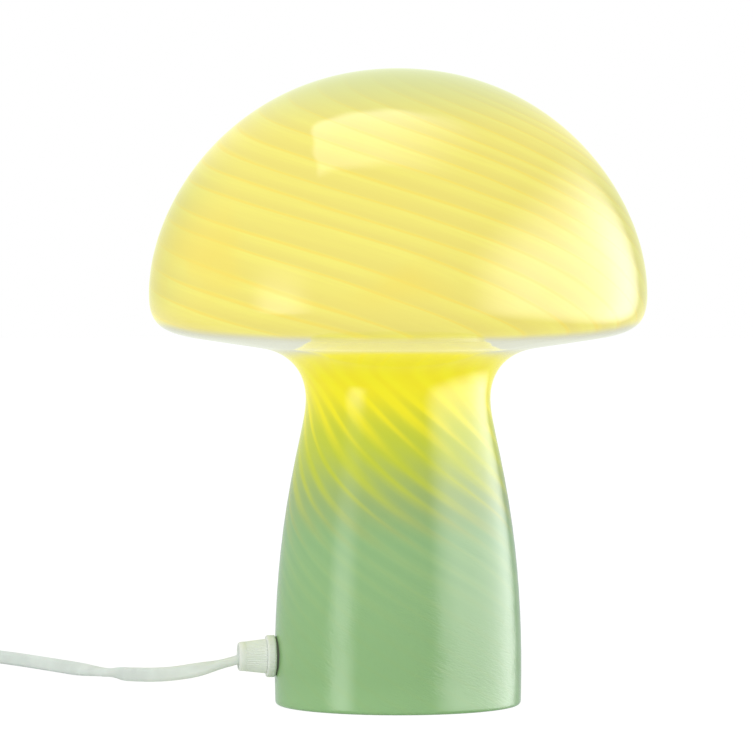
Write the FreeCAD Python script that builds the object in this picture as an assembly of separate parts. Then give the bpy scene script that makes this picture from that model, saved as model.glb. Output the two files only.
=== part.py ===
import FreeCAD, Part
import math
import os
from FreeCAD import Vector

# Mushroom table lamp: one blown glass body with the lampholder sprung into its neck.
# Millimetres, +Z up. The origin is on the lamp's axis at the plane that the foot stands on,
# and -Y looks at the viewer. The mains cord leaves the foot on the -X side.

# ---------------------------------------------------------------- driving dimensions
# Glass body
HEIGHT = 230.0            # foot to the top of the cap
CAP_R = 90.0              # widest radius of the cap
CAP_WIDEST_Z = 148.5      # height of that widest point
CAP_CROWN_REACH = 57.1    # how far the flat of the crown pulls on the dome's curve
CAP_SHOULDER_Z = 183.7    # how far the upright side pulls on it
LIP_PULL = 12.5           # how far the side and the underside pull on the rounded lip
UNDER_OUT_R = 68.3        # the straight underside runs from here ...
UNDER_IN_R = 50.0         # ... in to here
UNDER_IN_Z = 129.1
UNDER_SLOPE = 8.6         # degrees
NECK_R = 33.4
NECK_Z = 110.5
FOOT_R = 44.5
WALL = 3.5
RIM_OUT_ROUND = 1.4       # rounded edges of the foot's ground rim
RIM_IN_ROUND = 0.8

# Cord outlet in the foot
OUTLET_Z = 17.9
OUTLET_TURN = 8.0         # degrees from -X towards the viewer
OUTLET_HOLE_R = 5.25

# Flat twin flex
CORD_WIDE = 5.2
CORD_THIN = 3.2
CORE_R = 1.1
CORD_R = CORD_WIDE / 2

# Lampholder and bulb, E14
BULB_R = 22.5
BULB_Z = 150.0
BULB_LENGTH = 78.0
EYELET_Z = BULB_Z + BULB_R - BULB_LENGTH
CAP_THREAD_R = 6.8
HOLDER_THREAD_R = 6.98
HOLDER_R = 14.0
PLATE_Z = 98.6            # underside of the sprung plate
PLATE_T = 1.2
PLATE_R = 25.0

# In-line rocker switch
SWITCH_X = -258.0
SWITCH_Y = 120.0
SWITCH_HALF = 30.0        # half its length
SWITCH_SPLIT_Z = 8.0      # height of the split line and of the cord's axis
SWITCH_TOP_Z = 16.0
SWITCH_WALL = 1.8
ROCKER_PIVOT_Z = 11.5
ROCKER_TILT = 7.0         # degrees each side of level
BRIDGE_PIVOT_Z = 5.2
BRIDGE_TILT = 8.0

# Two-pin plug, 2.5 A
PLUG_X = -258.0
PLUG_TAIL_Y = -4.0        # where the cord enters; the plug points at -Y
PLUG_HIGH = 13.7
PLUG_WIDE = 35.3
PLUG_BODY = 30.0
PLUG_RELIEF = 22.0
PLUG_BORE = 5.0           # how far the cord is seen to run into the relief
PIN_R = 2.0
PIN_WAIST_R = 1.45        # under the sleeve
PIN_ROOT_R = 1.6          # inside the insert
PIN_SLEEVE_R = 1.8
PIN_LENGTH = 19.0
PIN_PITCH_FACE = 18.6
PIN_PITCH_TIP = 17.5

# Spare cord, wound and tied
COIL_X0 = -255.0          # where the coil starts, heading -Y
COIL_Y0 = 46.0
COIL_IN_R = 21.0
COIL_LEAD = 8.0           # straight flex at each end of the coil
COIL_TURNS = 3.5          # in each of the two layers
COIL_PITCH = CORD_THIN + 0.65
LAYER_PITCH = CORD_WIDE + 0.5
TIE_T = 0.6
COIL_LOW_Z = TIE_T + 0.1 + CORD_R

RUN = 0.05                # running clearance


# ---------------------------------------------------------------- helpers
def polar(radius, degrees, z=0.0):
    """The point at this radius and bearing."""
    turn = math.radians(degrees)
    return Vector(radius * math.cos(turn), radius * math.sin(turn), z)


def corners(points):
    """Straight edges through (x, z) points, closed, in the XZ plane."""
    vectors = [Vector(x, 0, z) for x, z in points]
    return Part.makePolygon(vectors + [vectors[0]])


def turned(points):
    """A solid of revolution about Z from a closed outline of (radius, height) points."""
    return Part.Face(corners(points)).revolve(Vector(0, 0, 0), Vector(0, 0, 1), 360)


def rod(radius, z0, z1, x=0.0, y=0.0):
    return Part.makeCylinder(radius, z1 - z0, Vector(x, y, z0))


def ring(outer, inner, z0, z1, x=0.0, y=0.0):
    return rod(outer, z0, z1, x, y).cut(rod(inner, z0 - 1, z1 + 1, x, y))


def block(x0, x1, y0, y1, z0, z1):
    return Part.makeBox(x1 - x0, y1 - y0, z1 - z0, Vector(x0, y0, z0))


def fused(shapes):
    whole = shapes[0]
    for shape in shapes[1:]:
        whole = whole.fuse(shape)
    return whole.removeSplitter()


def around_z(shape, count, start=0.0):
    """Copies of a shape, evenly spaced about the Z axis."""
    copies = []
    for i in range(count):
        copy = shape.copy()
        copy.rotate(Vector(0, 0, 0), Vector(0, 0, 1), start + 360.0 * i / count)
        copies.append(copy)
    return copies


def moved(shape, x=0.0, y=0.0, z=0.0):
    copy = shape.copy()
    copy.translate(Vector(x, y, z))
    return copy


def laid(shape, origin, forward, across):
    """Stand a shape made along +Z, with its width along +X, on another axis."""
    up = forward.cross(across)
    turn = FreeCAD.Rotation(across, up, forward, "ZXY")
    copy = shape.copy()
    copy.Placement = FreeCAD.Placement(origin, turn).multiply(copy.Placement)
    return copy


# ---------------------------------------------------------------- glass body
def glass_stretches():
    """Control points (radius, height) of the outer wall's five cubic stretches, crown to foot."""
    slope = math.radians(UNDER_SLOPE)
    along = (math.cos(slope), math.sin(slope))
    under_out_z = UNDER_IN_Z + (UNDER_OUT_R - UNDER_IN_R) * math.tan(slope)
    under_out = (UNDER_OUT_R, under_out_z)
    under_in = (UNDER_IN_R, UNDER_IN_Z)
    lip_out = (UNDER_OUT_R + 1.28 * LIP_PULL * along[0], under_out_z + 1.28 * LIP_PULL * along[1])
    neck_pull = (UNDER_IN_R - 12.0 * along[0], UNDER_IN_Z - 12.0 * along[1])
    return [
        [(0, HEIGHT), (CAP_CROWN_REACH, HEIGHT), (CAP_R, CAP_SHOULDER_Z), (CAP_R, CAP_WIDEST_Z)],
        [(CAP_R, CAP_WIDEST_Z), (CAP_R, CAP_WIDEST_Z - LIP_PULL), lip_out, under_out],
        [under_out, under_in],
        [under_in, neck_pull, (NECK_R, NECK_Z + 9.0), (NECK_R, NECK_Z)],
        [(NECK_R, NECK_Z), (NECK_R, NECK_Z - 12.5), (FOOT_R, 85.0), (FOOT_R, RIM_OUT_ROUND)],
    ]


def inset(points, depth):
    """Shift each leg of a control polygon inwards by depth and meet the legs again."""
    normals = []
    for (r0, z0), (r1, z1) in zip(points, points[1:]):
        length = math.hypot(r1 - r0, z1 - z0)
        normals.append(((z1 - z0) / length, -(r1 - r0) / length))
    result = []
    for i, (r, z) in enumerate(points):
        before = normals[max(i - 1, 0)]
        after = normals[min(i, len(normals) - 1)]
        share = depth / (1 + before[0] * after[0] + before[1] * after[1])
        result.append((r + (before[0] + after[0]) * share, z + (before[1] + after[1]) * share))
    return result


def stretch_edge(points):
    vectors = [Vector(r, 0, z) for r, z in points]
    if len(vectors) == 2:
        return Part.LineSegment(*vectors).toShape()
    curve = Part.BezierCurve()
    curve.setPoles(vectors)
    return curve.toShape()


def glass_body():
    outer = glass_stretches()
    inner = [inset(points, WALL) for points in outer]
    inner_foot_r = FOOT_R - WALL
    inner[-1][-1] = (inner_foot_r, RIM_IN_ROUND)
    edges = [stretch_edge(points) for points in outer]

    def quarter(start, middle, end):
        return Part.Arc(*[Vector(r, 0, z) for r, z in (start, middle, end)]).toShape()

    bulge = 1 - math.sqrt(0.5)
    ground_out = (FOOT_R - RIM_OUT_ROUND, 0)
    ground_in = (inner_foot_r + RIM_IN_ROUND, 0)
    edges.append(quarter((FOOT_R, RIM_OUT_ROUND),
                         (FOOT_R - bulge * RIM_OUT_ROUND, bulge * RIM_OUT_ROUND), ground_out))
    edges.append(stretch_edge([ground_out, ground_in]))
    edges.append(quarter(ground_in, (inner_foot_r + bulge * RIM_IN_ROUND, bulge * RIM_IN_ROUND),
                         (inner_foot_r, RIM_IN_ROUND)))
    edges += [stretch_edge(points[::-1]) for points in reversed(inner)]
    edges.append(stretch_edge([(0, HEIGHT - WALL), (0, HEIGHT)]))
    body = Part.Face(Part.Wire(edges)).revolve(Vector(0, 0, 0), Vector(0, 0, 1), 360)
    hole = laid(rod(OUTLET_HOLE_R, 30, 55), OUTLET, OUT_DIR, OUT_SIDE)
    return body.cut(hole)


# The outlet's axis points out of the foot; OUT_SIDE is level and square to it.
OUTLET = Vector(0, 0, OUTLET_Z)
OUT_DIR = polar(1.0, 180.0 + OUTLET_TURN)
OUT_SIDE = OUT_DIR.cross(Vector(0, 0, 1))


# ---------------------------------------------------------------- sprung plate in the neck
ARM_PATH = [(23.0, PLATE_Z), (27.9, PLATE_Z + 1.4), (28.7, 110.5), (29.4, 117.5), (35.6, 127.8)]
ARM_WIDE = 8.0
ARM_T = 0.8


def spring_arm():
    """One spring arm: a bent strip that rises through the neck and hooks over its shoulder."""
    outer = ARM_PATH
    inner = [(r - ARM_T, z) for r, z in ARM_PATH[1:-1]]
    tip = (ARM_PATH[-1][0] - 0.6, ARM_PATH[-1][1] + 0.6)
    outline = outer + [tip] + inner[::-1] + [(23.0, PLATE_Z + PLATE_T)]
    strip = Part.Face(corners(outline)).extrude(Vector(0, ARM_WIDE, 0))
    return moved(strip, 0, -ARM_WIDE / 2, 0)


def bracket():
    plate = ring(PLATE_R, HOLDER_R + 0.1, PLATE_Z, PLATE_Z + PLATE_T)
    slots = []
    for cut in around_z(block(17.5, 22.0, -5, 5, PLATE_Z - 1, PLATE_Z + 3), 3, 60):
        slots.append(cut)
    return fused([plate.cut(Part.makeCompound(slots))] + around_z(spring_arm(), 3))


def arm_sleeves(glass, plate):
    """Soft sleeves on the arms' ends, seated on the glass inside the shoulder."""
    (r0, z0), (r1, z1) = ARM_PATH[-2:]
    length = math.hypot(r1 - r0, z1 - z0)
    lean = (r1 - r0) / length, (z1 - z0) / length
    side = (lean[1], -lean[0])

    def at(along, out):
        return (r0 + lean[0] * along + side[0] * out, z0 + lean[1] * along + side[1] * out)

    outline = [at(5.5, -2.0), at(5.5, 1.2), at(length + 1.6, 2.6), at(length + 1.6, -2.0)]
    sleeve = Part.Face(corners(outline)).extrude(Vector(0, ARM_WIDE + 2.4, 0))
    sleeve = moved(sleeve, 0, -(ARM_WIDE + 2.4) / 2, 0)
    return [one.cut(glass).cut(plate).Solids[0] for one in around_z(sleeve, 3)]


def shade_ring(z0, z1, flange_z):
    """A threaded clamp ring: a collar with a wide flange, notched to take a finger."""
    collar = ring(17.0, HOLDER_R + RUN, z0, z1)
    flange = ring(21.5, HOLDER_R + RUN, flange_z, flange_z + 1.6)
    notches = around_z(rod(1.5, z0 - 1, z1 + 1, 21.9), 16)
    return fused([collar, flange]).cut(Part.makeCompound(notches))


# ---------------------------------------------------------------- lampholder
SKIRT_LOW_Z = 76.0
SKIRT_TOP_Z = 117.0
DOME_LOW_Z = 53.0
SHEATH_END_Z = 63.6
CORE_LOW_Z = 78.0
CORE_TOP_Z = 112.5
SOCKET_FLOOR_Z = 92.6
TERMINAL_X = 4.8


def holder_skirt():
    """The outer sleeve: threaded outside for the clamp rings, closed in to a lip at the top."""
    sleeve = turned([(11.6, SKIRT_LOW_Z), (13.0, SKIRT_LOW_Z), (13.0, 82.0), (HOLDER_R, 82.0),
                     (HOLDER_R, SKIRT_TOP_Z - 1), (HOLDER_R - 1, SKIRT_TOP_Z), (8.6, SKIRT_TOP_Z),
                     (8.0, SKIRT_TOP_Z - 0.8), (8.0, SKIRT_TOP_Z - 3), (11.6, SKIRT_TOP_Z - 3)])
    return sleeve


def holder_dome():
    """The lower cup, screwed to the skirt, with a boss for the cord grip."""
    return turned([(HOLDER_R + 0.6, SKIRT_LOW_Z + 5.9), (13.05, SKIRT_LOW_Z + 5.9),
                   (13.05, SKIRT_LOW_Z), (11.4, SKIRT_LOW_Z - 1.2), (11.4, 70.0), (8.0, 64.0),
                   (5.05, 62.5), (5.05, DOME_LOW_Z), (8.0, DOME_LOW_Z), (8.0, 59.0),
                   (11.0, 61.5), (HOLDER_R, 68.0), (HOLDER_R + 0.6, 72.0)])


def holder_core():
    """The insulating cup that carries the screw shell and both contacts."""
    cup = turned([(0, CORE_LOW_Z), (11.5, CORE_LOW_Z), (11.5, CORE_TOP_Z), (7.6, CORE_TOP_Z),
                  (7.6, SOCKET_FLOOR_Z), (0, SOCKET_FLOOR_Z)])
    centre_slot = block(-8.6, 3.0, -2.3, 2.3, 91.4, SOCKET_FLOOR_Z + 1)
    leg_slots = [block(-8.6, -7.4, -2.3, 2.3, CORE_LOW_Z - 1, SOCKET_FLOOR_Z + 1),
                 block(7.58, 8.7, -2.3, 2.3, CORE_LOW_Z - 1, 99.0)]
    pockets = [block(-7.45, -2.0, -3.2, 3.2, CORE_LOW_Z - 1, 85.5),
               block(2.0, 7.62, -3.2, 3.2, CORE_LOW_Z - 1, 85.5)]
    return cup.cut(Part.makeCompound(leg_slots + pockets)).cut(centre_slot)


def screw_shell():
    """The metal E14 thread sleeve, a running fit round the bulb's cap."""
    return ring(7.55, HOLDER_THREAD_R, 96.0, CORE_TOP_Z)


def contact_strip(outline):
    """A contact bent from 4 mm strip, drawn in the XZ plane."""
    strip = moved(Part.Face(corners(outline)).extrude(Vector(0, 4, 0)), 0, -2, 0)
    return strip.cut(rod(1.3, 79, 81, TERMINAL_X)).cut(rod(1.3, 79, 81, -TERMINAL_X))


def centre_contact():
    """Down the slot, a clamp foot for the live wire, and a tongue rising under the eyelet."""
    top = EYELET_Z - 0.1
    return contact_strip([(-2.4, 79.4), (-2.4, 80.2), (-7.6, 80.2), (-7.6, 91.6), (-2.5, 91.6),
                          (1.2, top - 0.6), (1.6, top), (0.2, top), (-2.9, 92.3), (-8.4, 92.3),
                          (-8.4, 79.4)])


def side_contact():
    """Up the other slot, to bear on the outside of the screw shell's foot."""
    return contact_strip([(2.4, 79.4), (2.4, 80.2), (7.8, 80.2), (7.8, 95.2), (7.58, 96.2),
                          (7.58, 98.6), (8.3, 98.6), (8.6, 95.4), (8.6, 79.4)])


def slotted_screw(head_r, head_t, shank_r, length, slot=0.8):
    """A cheese-head screw along +Z: the head's top at z = 0 and the shank below it."""
    head = rod(head_r, -head_t, 0)
    drive = block(-head_r - 1, head_r + 1, -slot / 2, slot / 2, -head_t * 0.45, 1)
    return fused([head, rod(shank_r, -head_t - length, -head_t)]).cut(drive)


def terminal_screws():
    screws = []
    for x in (-TERMINAL_X, TERMINAL_X):
        screw = slotted_screw(2.2, 1.6, 1.3, 4.6)
        screw.rotate(Vector(0, 0, 0), Vector(1, 0, 0), 180)
        screws.append(moved(screw, x, 0, CORE_LOW_Z - 0.6))
    return screws


def cord_grip():
    """The M10 nipple under the holder, with the flat slot that the flex passes through."""
    body = turned([(0, 44.0), (6.2, 44.0), (6.9, 44.7), (6.9, DOME_LOW_Z), (5.0, DOME_LOW_Z),
                   (5.0, 62.0), (0, 62.0)])
    slot = laid(flat_section_solid(CORD_WIDE / 2 + RUN, CORD_THIN / 2 + RUN, 22),
                Vector(0, 0, 42.0), Vector(0, 0, 1), OUT_SIDE)
    return body.cut(slot).cut(grip_screw_body(1.35))


def grip_screw_body(radius):
    """The clamp screw's shank, square to the flat of the flex."""
    start = CORD_THIN / 2 + RUN
    return laid(rod(radius, start, 7.4), Vector(0, 0, 48.5), OUT_DIR, OUT_SIDE)


def grip_screw():
    shank = grip_screw_body(1.3)
    drive = laid(block(-2, 2, -0.3, 0.3, 6.6, 8.0), Vector(0, 0, 48.5), OUT_DIR, OUT_SIDE)
    return shank.cut(drive)


# ---------------------------------------------------------------- bulb
def bulb_globe():
    """Blown globe with its neck sunk in the cap: a thin wall, open where the stem seals it."""
    neck_r = 5.9
    neck_z = 120.5
    wall = 0.7
    join = math.radians(-58.0)

    def shell(radius, neck):
        joint = Vector(radius * math.cos(join), 0, BULB_Z + radius * math.sin(join))
        arc = Part.Arc(Vector(0, 0, BULB_Z + radius), Vector(radius, 0, BULB_Z), joint).toShape()
        lean = Vector(math.sin(join), 0, -math.cos(join))
        throat = Part.BezierCurve()
        throat.setPoles([joint, joint + lean * 8.0, Vector(neck, 0, neck_z + 7), Vector(neck, 0, neck_z)])
        tail = Part.LineSegment(Vector(neck, 0, neck_z), Vector(neck, 0, 112.0)).toShape()
        return [arc, throat.toShape(), tail]

    outside = shell(BULB_R, neck_r)
    inside = shell(BULB_R - wall, neck_r - wall)
    foot = Part.LineSegment(Vector(neck_r, 0, 112.0), Vector(neck_r - wall, 0, 112.0)).toShape()
    crown = Part.LineSegment(Vector(0, 0, BULB_Z + BULB_R - wall), Vector(0, 0, BULB_Z + BULB_R)).toShape()
    wire = Part.Wire(Part.__sortEdges__(outside + [foot] + inside + [crown]))
    return Part.Face(wire).revolve(Vector(0, 0, 0), Vector(0, 0, 1), 360)


def bulb_cap():
    """Drawn metal cap with rolled thread crests, flared where it grips the neck."""
    crests = []
    for i in range(5):
        z = 102.0 + 2.82 * i
        crests += [(CAP_THREAD_R - 0.55, z - 0.9), (CAP_THREAD_R, z - 0.2), (CAP_THREAD_R, z + 0.4),
                   (CAP_THREAD_R - 0.55, z + 1.1)]
    return turned([(5.2, 98.8), (6.0, 98.8)] + crests +
                  [(6.6, 115.5), (6.9, 119.4), (6.3, 119.4), (6.1, 116.5), (5.95, 114.0), (5.95, 99.6),
                   (5.2, 99.6)])


def bulb_insulator():
    return turned([(1.6, EYELET_Z + 1.0), (3.0, EYELET_Z + 1.0), (5.15, 98.4), (5.15, 99.9),
                   (1.6, 99.9)])


def bulb_eyelet():
    return turned([(0, EYELET_Z), (1.7, EYELET_Z), (2.4, EYELET_Z + 0.4), (2.4, EYELET_Z + 0.95),
                   (1.5, EYELET_Z + 0.95), (1.5, EYELET_Z + 2.6), (0, EYELET_Z + 2.6)])


def bulb_stem():
    """The glass mount: a flared foot sealed to the neck, a pinch and a short rod."""
    return turned([(0, 112.2), (5.15, 112.2), (5.15, 113.4), (2.4, 118.0), (1.9, 128.0), (1.2, 130.0),
                   (1.2, 138.0), (0, 138.6)])


FILAMENT_HALF = 9.0
FILAMENT_Z = 150.0


def filament_leads():
    """The two stiff wires from the mount's pinch out to the filament's ends."""
    leads = []
    for sign in (-1, 1):
        path = smooth_path([Vector(sign * 1.55, 0, 128.2), Vector(sign * 2.4, 0, 134.0),
                            Vector(sign * 6.6, 0, 142.0), Vector(sign * FILAMENT_HALF, 0, FILAMENT_Z)])
        leads.append(swept(path, round_section(0.3, path)))
    return leads


def bulb_filament():
    """The tungsten filament, drawn as one fine wire bowed between its leads."""
    path = smooth_path([Vector(-FILAMENT_HALF, 0.62, FILAMENT_Z), Vector(-5.0, 4.2, FILAMENT_Z + 2.4),
                        Vector(0, 5.6, FILAMENT_Z + 0.6), Vector(5.0, 4.2, FILAMENT_Z + 2.4),
                        Vector(FILAMENT_HALF, 0.62, FILAMENT_Z)])
    return swept(path, round_section(0.3, path))


# ---------------------------------------------------------------- cord outlet
# Distances along the outlet's axis, from the lamp's axis outwards
FLANGE_S = 45.0
FLANGE_T = 3.1
FLANGE_R = 7.6
NOSE_S = FLANGE_S + FLANGE_T
NOSE_LENGTH = 10.2
NOSE_FOOT_R = 6.22
NOSE_TIP_R = 5.02
NOSE_BAND = 2.4           # the smooth band at the tip
NOSE_RIBS = 42
FLANGE_TEETH = 36
COLLET_OUT_S = 49.0
THREAD_R = 4.9
NUT_S = 34.6
NUT_T = 4.0


def on_outlet(shape):
    return laid(shape, OUTLET, OUT_DIR, OUT_SIDE)


def star(count, outer, inner, z):
    """A closed ring of points that alternate between two radii, at one height."""
    points = []
    for i in range(2 * count):
        points.append(polar(outer if i % 2 == 0 else inner, 180.0 * i / count, z))
    return Part.makePolygon(points + [points[0]])


def outlet_body():
    """Threaded tube with the knurled flange outside the glass; a flat slot takes the flex."""
    outer_half = Part.makeLoft([star(FLANGE_TEETH, FLANGE_R, FLANGE_R - 0.45, FLANGE_S + 1.2),
                                star(FLANGE_TEETH, FLANGE_R - 0.35, FLANGE_R - 0.6, NOSE_S)], True, True)
    inner_half = Part.makeLoft([star(FLANGE_TEETH, FLANGE_R - 0.75, FLANGE_R - 1.0, FLANGE_S),
                                star(FLANGE_TEETH, FLANGE_R, FLANGE_R - 0.45, FLANGE_S + 1.2)], True, True)
    tube = rod(THREAD_R, NUT_S - 0.6, 53.0)
    solid = outer_half.fuse(inner_half).fuse(tube)
    slot = flat_section_solid(CORD_WIDE / 2 + 0.3, CORD_THIN / 2 + 0.3, 30)
    slot = moved(slot, 0, 0, NUT_S - 2)
    seat = rod(3.9, COLLET_OUT_S - 4.5, 55)
    return on_outlet(solid.cut(slot).cut(seat))


def outlet_nose():
    """The ribbed cone that screws on and squeezes the collet; its mouth flares for the flex."""
    rib_end_r = NOSE_TIP_R + (NOSE_FOOT_R - NOSE_TIP_R) * NOSE_BAND / NOSE_LENGTH
    ribbed_end = NOSE_S + NOSE_LENGTH - NOSE_BAND
    ribbed = Part.makeLoft([star(NOSE_RIBS, NOSE_FOOT_R, NOSE_FOOT_R - 0.22, NOSE_S),
                            star(NOSE_RIBS, rib_end_r, rib_end_r - 0.22, ribbed_end)], True, True)
    tip_s = NOSE_S + NOSE_LENGTH
    band = turned([(0, ribbed_end), (rib_end_r, ribbed_end), (NOSE_TIP_R, tip_s - 0.7),
                   (NOSE_TIP_R - 0.7, tip_s), (0, tip_s)])
    bore = turned([(0, NOSE_S - 1), (THREAD_R + RUN, NOSE_S - 1), (THREAD_R + RUN, 53.2),
                   (3.1, 53.9), (3.1, 55.0), (4.1, tip_s + 0.1), (0, tip_s + 0.1)])
    return on_outlet(ribbed.fuse(band).cut(bore))


def outlet_collet():
    """A soft bush with a flat slot, squeezed on the flex by the nose."""
    bush = turned([(0, COLLET_OUT_S - 4.4), (3.8, COLLET_OUT_S - 4.4), (3.8, COLLET_OUT_S - 1.0),
                   (3.3, COLLET_OUT_S), (0, COLLET_OUT_S)])
    slot = moved(flat_section_solid(CORD_WIDE / 2 + RUN, CORD_THIN / 2 + RUN, 8), 0, 0, COLLET_OUT_S - 6)
    return on_outlet(bush.cut(slot))


def outlet_gasket(glass, s0, s1, radius):
    """A soft washer cut to the curve of the glass that it bears on."""
    washer = on_outlet(ring(radius, THREAD_R + RUN, s0, s1))
    return washer.cut(glass).Solids[0]


def outlet_nut():
    """Hexagon nut inside the foot, 14 mm across flats."""
    across_corners = 14.0 / math.cos(math.radians(30))
    points = [polar(across_corners / 2, 60.0 * i) for i in range(6)]
    hexagon = Part.Face(Part.makePolygon(points + [points[0]]))
    nut = moved(hexagon.extrude(Vector(0, 0, NUT_T)), 0, 0, NUT_S)
    return on_outlet(nut.cut(rod(THREAD_R + RUN, NUT_S - 1, NUT_S + NUT_T + 1)))


# ---------------------------------------------------------------- flex and wires
def smooth_path(points, note=None):
    """Straight runs joined by tangent arcs: radius 0.45 of the shorter run over tan(half turn)."""
    edges = []
    radii = []
    start = points[0]
    for before, corner, after in zip(points, points[1:], points[2:]):
        back = (before - corner).normalize()
        ahead = (after - corner).normalize()
        half_turn = (math.pi - back.getAngle(ahead)) / 2
        cut = 0.45 * min(before.distanceToPoint(corner), corner.distanceToPoint(after))
        radius = cut / math.tan(half_turn)
        into = corner + back * cut
        away = corner + ahead * cut
        inward = (back + ahead).normalize()
        middle = corner + inward * (radius / math.cos(half_turn) - radius)
        edges.append(Part.LineSegment(start, into).toShape())
        edges.append(Part.Arc(into, middle, away).toShape())
        radii.append(radius)
        start = away
    edges.append(Part.LineSegment(start, points[-1]).toShape())
    if note:
        print(note, "radii", [round(radius, 1) for radius in radii])
    return Part.Wire(edges)


def round_section(radius, path):
    """A circle square to the start of the path."""
    edge = path.Edges[0]
    ahead = edge.tangentAt(edge.FirstParameter)
    return Part.Wire(Part.makeCircle(radius, edge.valueAt(edge.FirstParameter), ahead))


def flat_outline(half_wide, half_thin):
    """The flex's section about the origin, wide along X: two flats and two half rounds."""
    flat = half_wide - half_thin
    edges = []
    for sign in (-1, 1):
        start = Vector(sign * flat, sign * half_thin, 0)
        end = Vector(-sign * flat, sign * half_thin, 0)
        across = Vector(-sign * flat, -sign * half_thin, 0)
        edges.append(Part.LineSegment(start, end).toShape())
        edges.append(Part.Arc(end, Vector(-sign * half_wide, 0, 0), across).toShape())
    return Part.Wire(edges)


def flat_section_solid(half_wide, half_thin, length):
    return Part.Face(flat_outline(half_wide, half_thin)).extrude(Vector(0, 0, length))


def flat_section(path, across):
    """The flex's section at the start of a path, wide along a given direction."""
    edge = path.Edges[0]
    start, ahead = edge.valueAt(edge.FirstParameter), edge.tangentAt(edge.FirstParameter)
    return laid(flat_outline(CORD_WIDE / 2, CORD_THIN / 2), start, ahead, across)


def swept(path, section):
    return path.makePipeShell([section], True, False)


def cord_tube(name, points):
    """A free stretch of flex as a plain round tube of the flex's width."""
    path = smooth_path(points, name)
    tube = swept(path, round_section(CORD_R, path))
    ideal = math.pi * CORD_R ** 2 * path.Length
    print(name, "length", round(path.Length, 1), "volume / section x length", round(tube.Volume / ideal, 4))
    return tube


def outlet_point(s):
    return OUTLET + OUT_DIR * s


def inner_lead():
    """The sheathed flex from the collet, across the foot and up into the cord grip."""
    points = [outlet_point(COLLET_OUT_S), outlet_point(20.5), outlet_point(7.5) + Vector(0, 0, 7.6),
              Vector(0, 0, 38.4), Vector(0, 0, SHEATH_END_Z)]
    path = smooth_path(points, "inner_lead")
    return swept(path, flat_section(path, OUT_SIDE))


def holder_core_wire(sign):
    """One insulated core, from the end of the sheath to its terminal in the holder."""
    out = OUT_SIDE * (sign * 1.15)
    points = [Vector(out.x, out.y, SHEATH_END_Z), Vector(out.x, out.y, 67.0),
              Vector(sign * 7.2, out.y * 0.4, 72.5), Vector(sign * 8.2, 0, CORE_LOW_Z)]
    path = smooth_path(points)
    return swept(path, round_section(CORE_R, path))


# The route of the flex over the surface: a flat list of corners, chosen by eye.
ROUTE_TO_SWITCH = [
    outlet_point(COLLET_OUT_S), outlet_point(54.6),
    Vector(-61.0, -8.6, 15.8), Vector(-72.0, -7.8, 13.0), Vector(-82.0, -2.9, 11.1),
    Vector(-89.4, 5.6, 10.0), Vector(-95.2, 24.7, 8.4), Vector(-99.5, 48.0, 6.4),
    Vector(-107.0, 76.0, 4.3), Vector(-118.0, 103.0, 2.9), Vector(-133.0, 131.0, 2.6),
    Vector(-155.0, 166.0, 2.6), Vector(-180.0, 197.0, 2.6), Vector(-207.0, 218.0, 2.6),
    Vector(-238.0, 216.0, 2.7), Vector(-257.6, 193.0, 3.5), Vector(-258.0, 163.0, 8.0),
    Vector(-258.0, 140.5, 8.0),
]
ROUTE_TO_COIL = [
    Vector(-258.0, 99.5, 8.0), Vector(-258.0, 85.0, 8.0), Vector(-257.3, 70.0, 5.3),
    Vector(-255.0, 61.6, COIL_LOW_Z), Vector(-255.0, COIL_Y0 + COIL_LEAD, COIL_LOW_Z),
]
ROUTE_TO_PLUG = [
    Vector(-255.0, COIL_Y0 - COIL_LEAD, COIL_LOW_Z + LAYER_PITCH),
    Vector(-255.0, 29.0, COIL_LOW_Z + LAYER_PITCH), Vector(-256.5, 17.5, 6.6),
    Vector(-258.0, 4.0, PLUG_HIGH / 2), Vector(-258.0, PLUG_TAIL_Y - PLUG_BORE, PLUG_HIGH / 2),
]


# ---------------------------------------------------------------- the tied coil
COIL_OUT_R = COIL_IN_R + COIL_TURNS * COIL_PITCH
COIL_CENTRE = Vector(COIL_X0 + COIL_OUT_R, COIL_Y0, 0)
CLIMB_HALF = 0.25         # turns each side of the reversal in which the flex climbs a layer
EASE_HALF = 0.125         # turns each side in which the spiral eases round


def coil_state(turn):
    """Radius and height of the flex's centre after so many turns, in and out again."""
    short = turn - COIL_TURNS
    away = abs(short)
    if away < EASE_HALF:
        away = short ** 2 / (2 * EASE_HALF) + EASE_HALF / 2
    share = min(max(short / (2 * CLIMB_HALF) + 0.5, 0.0), 1.0)
    rise = share * share * (3 - 2 * share)
    return COIL_IN_R + COIL_PITCH * away, COIL_LOW_Z + LAYER_PITCH * rise


def coil_point(turn):
    radius, z = coil_state(turn)
    return COIL_CENTRE + polar(radius, 180.0 + 360.0 * turn, z)


def coil_heading(turn):
    """Direction of travel, square to the start and the end of the coil."""
    if turn in (0, 2 * COIL_TURNS):
        return Vector(0, -1, 0)
    step = 1e-4
    return (coil_point(turn + step) - coil_point(turn - step)).normalize()


def biarc(p0, t0, p1, t1):
    """Two tangent arcs from one point and heading to the next."""
    gap = p1 - p0
    both = t0 + t1
    k = 2 * (1 - t0.dot(t1))
    b = gap.dot(both)
    reach = (-b + math.sqrt(b * b + k * gap.dot(gap))) / k
    corner0 = p0 + t0 * reach
    corner1 = p1 - t1 * reach
    joint = (corner0 + corner1) * 0.5
    arcs = []
    for start, corner, end in ((p0, corner0, joint), (joint, corner1, p1)):
        weight = math.cos((corner - start).getAngle(end - start))
        middle = (start + corner * (2 * weight) + end) * (1 / (2 + 2 * weight))
        arcs.append(Part.Arc(start, middle, end).toShape())
    return arcs


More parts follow.
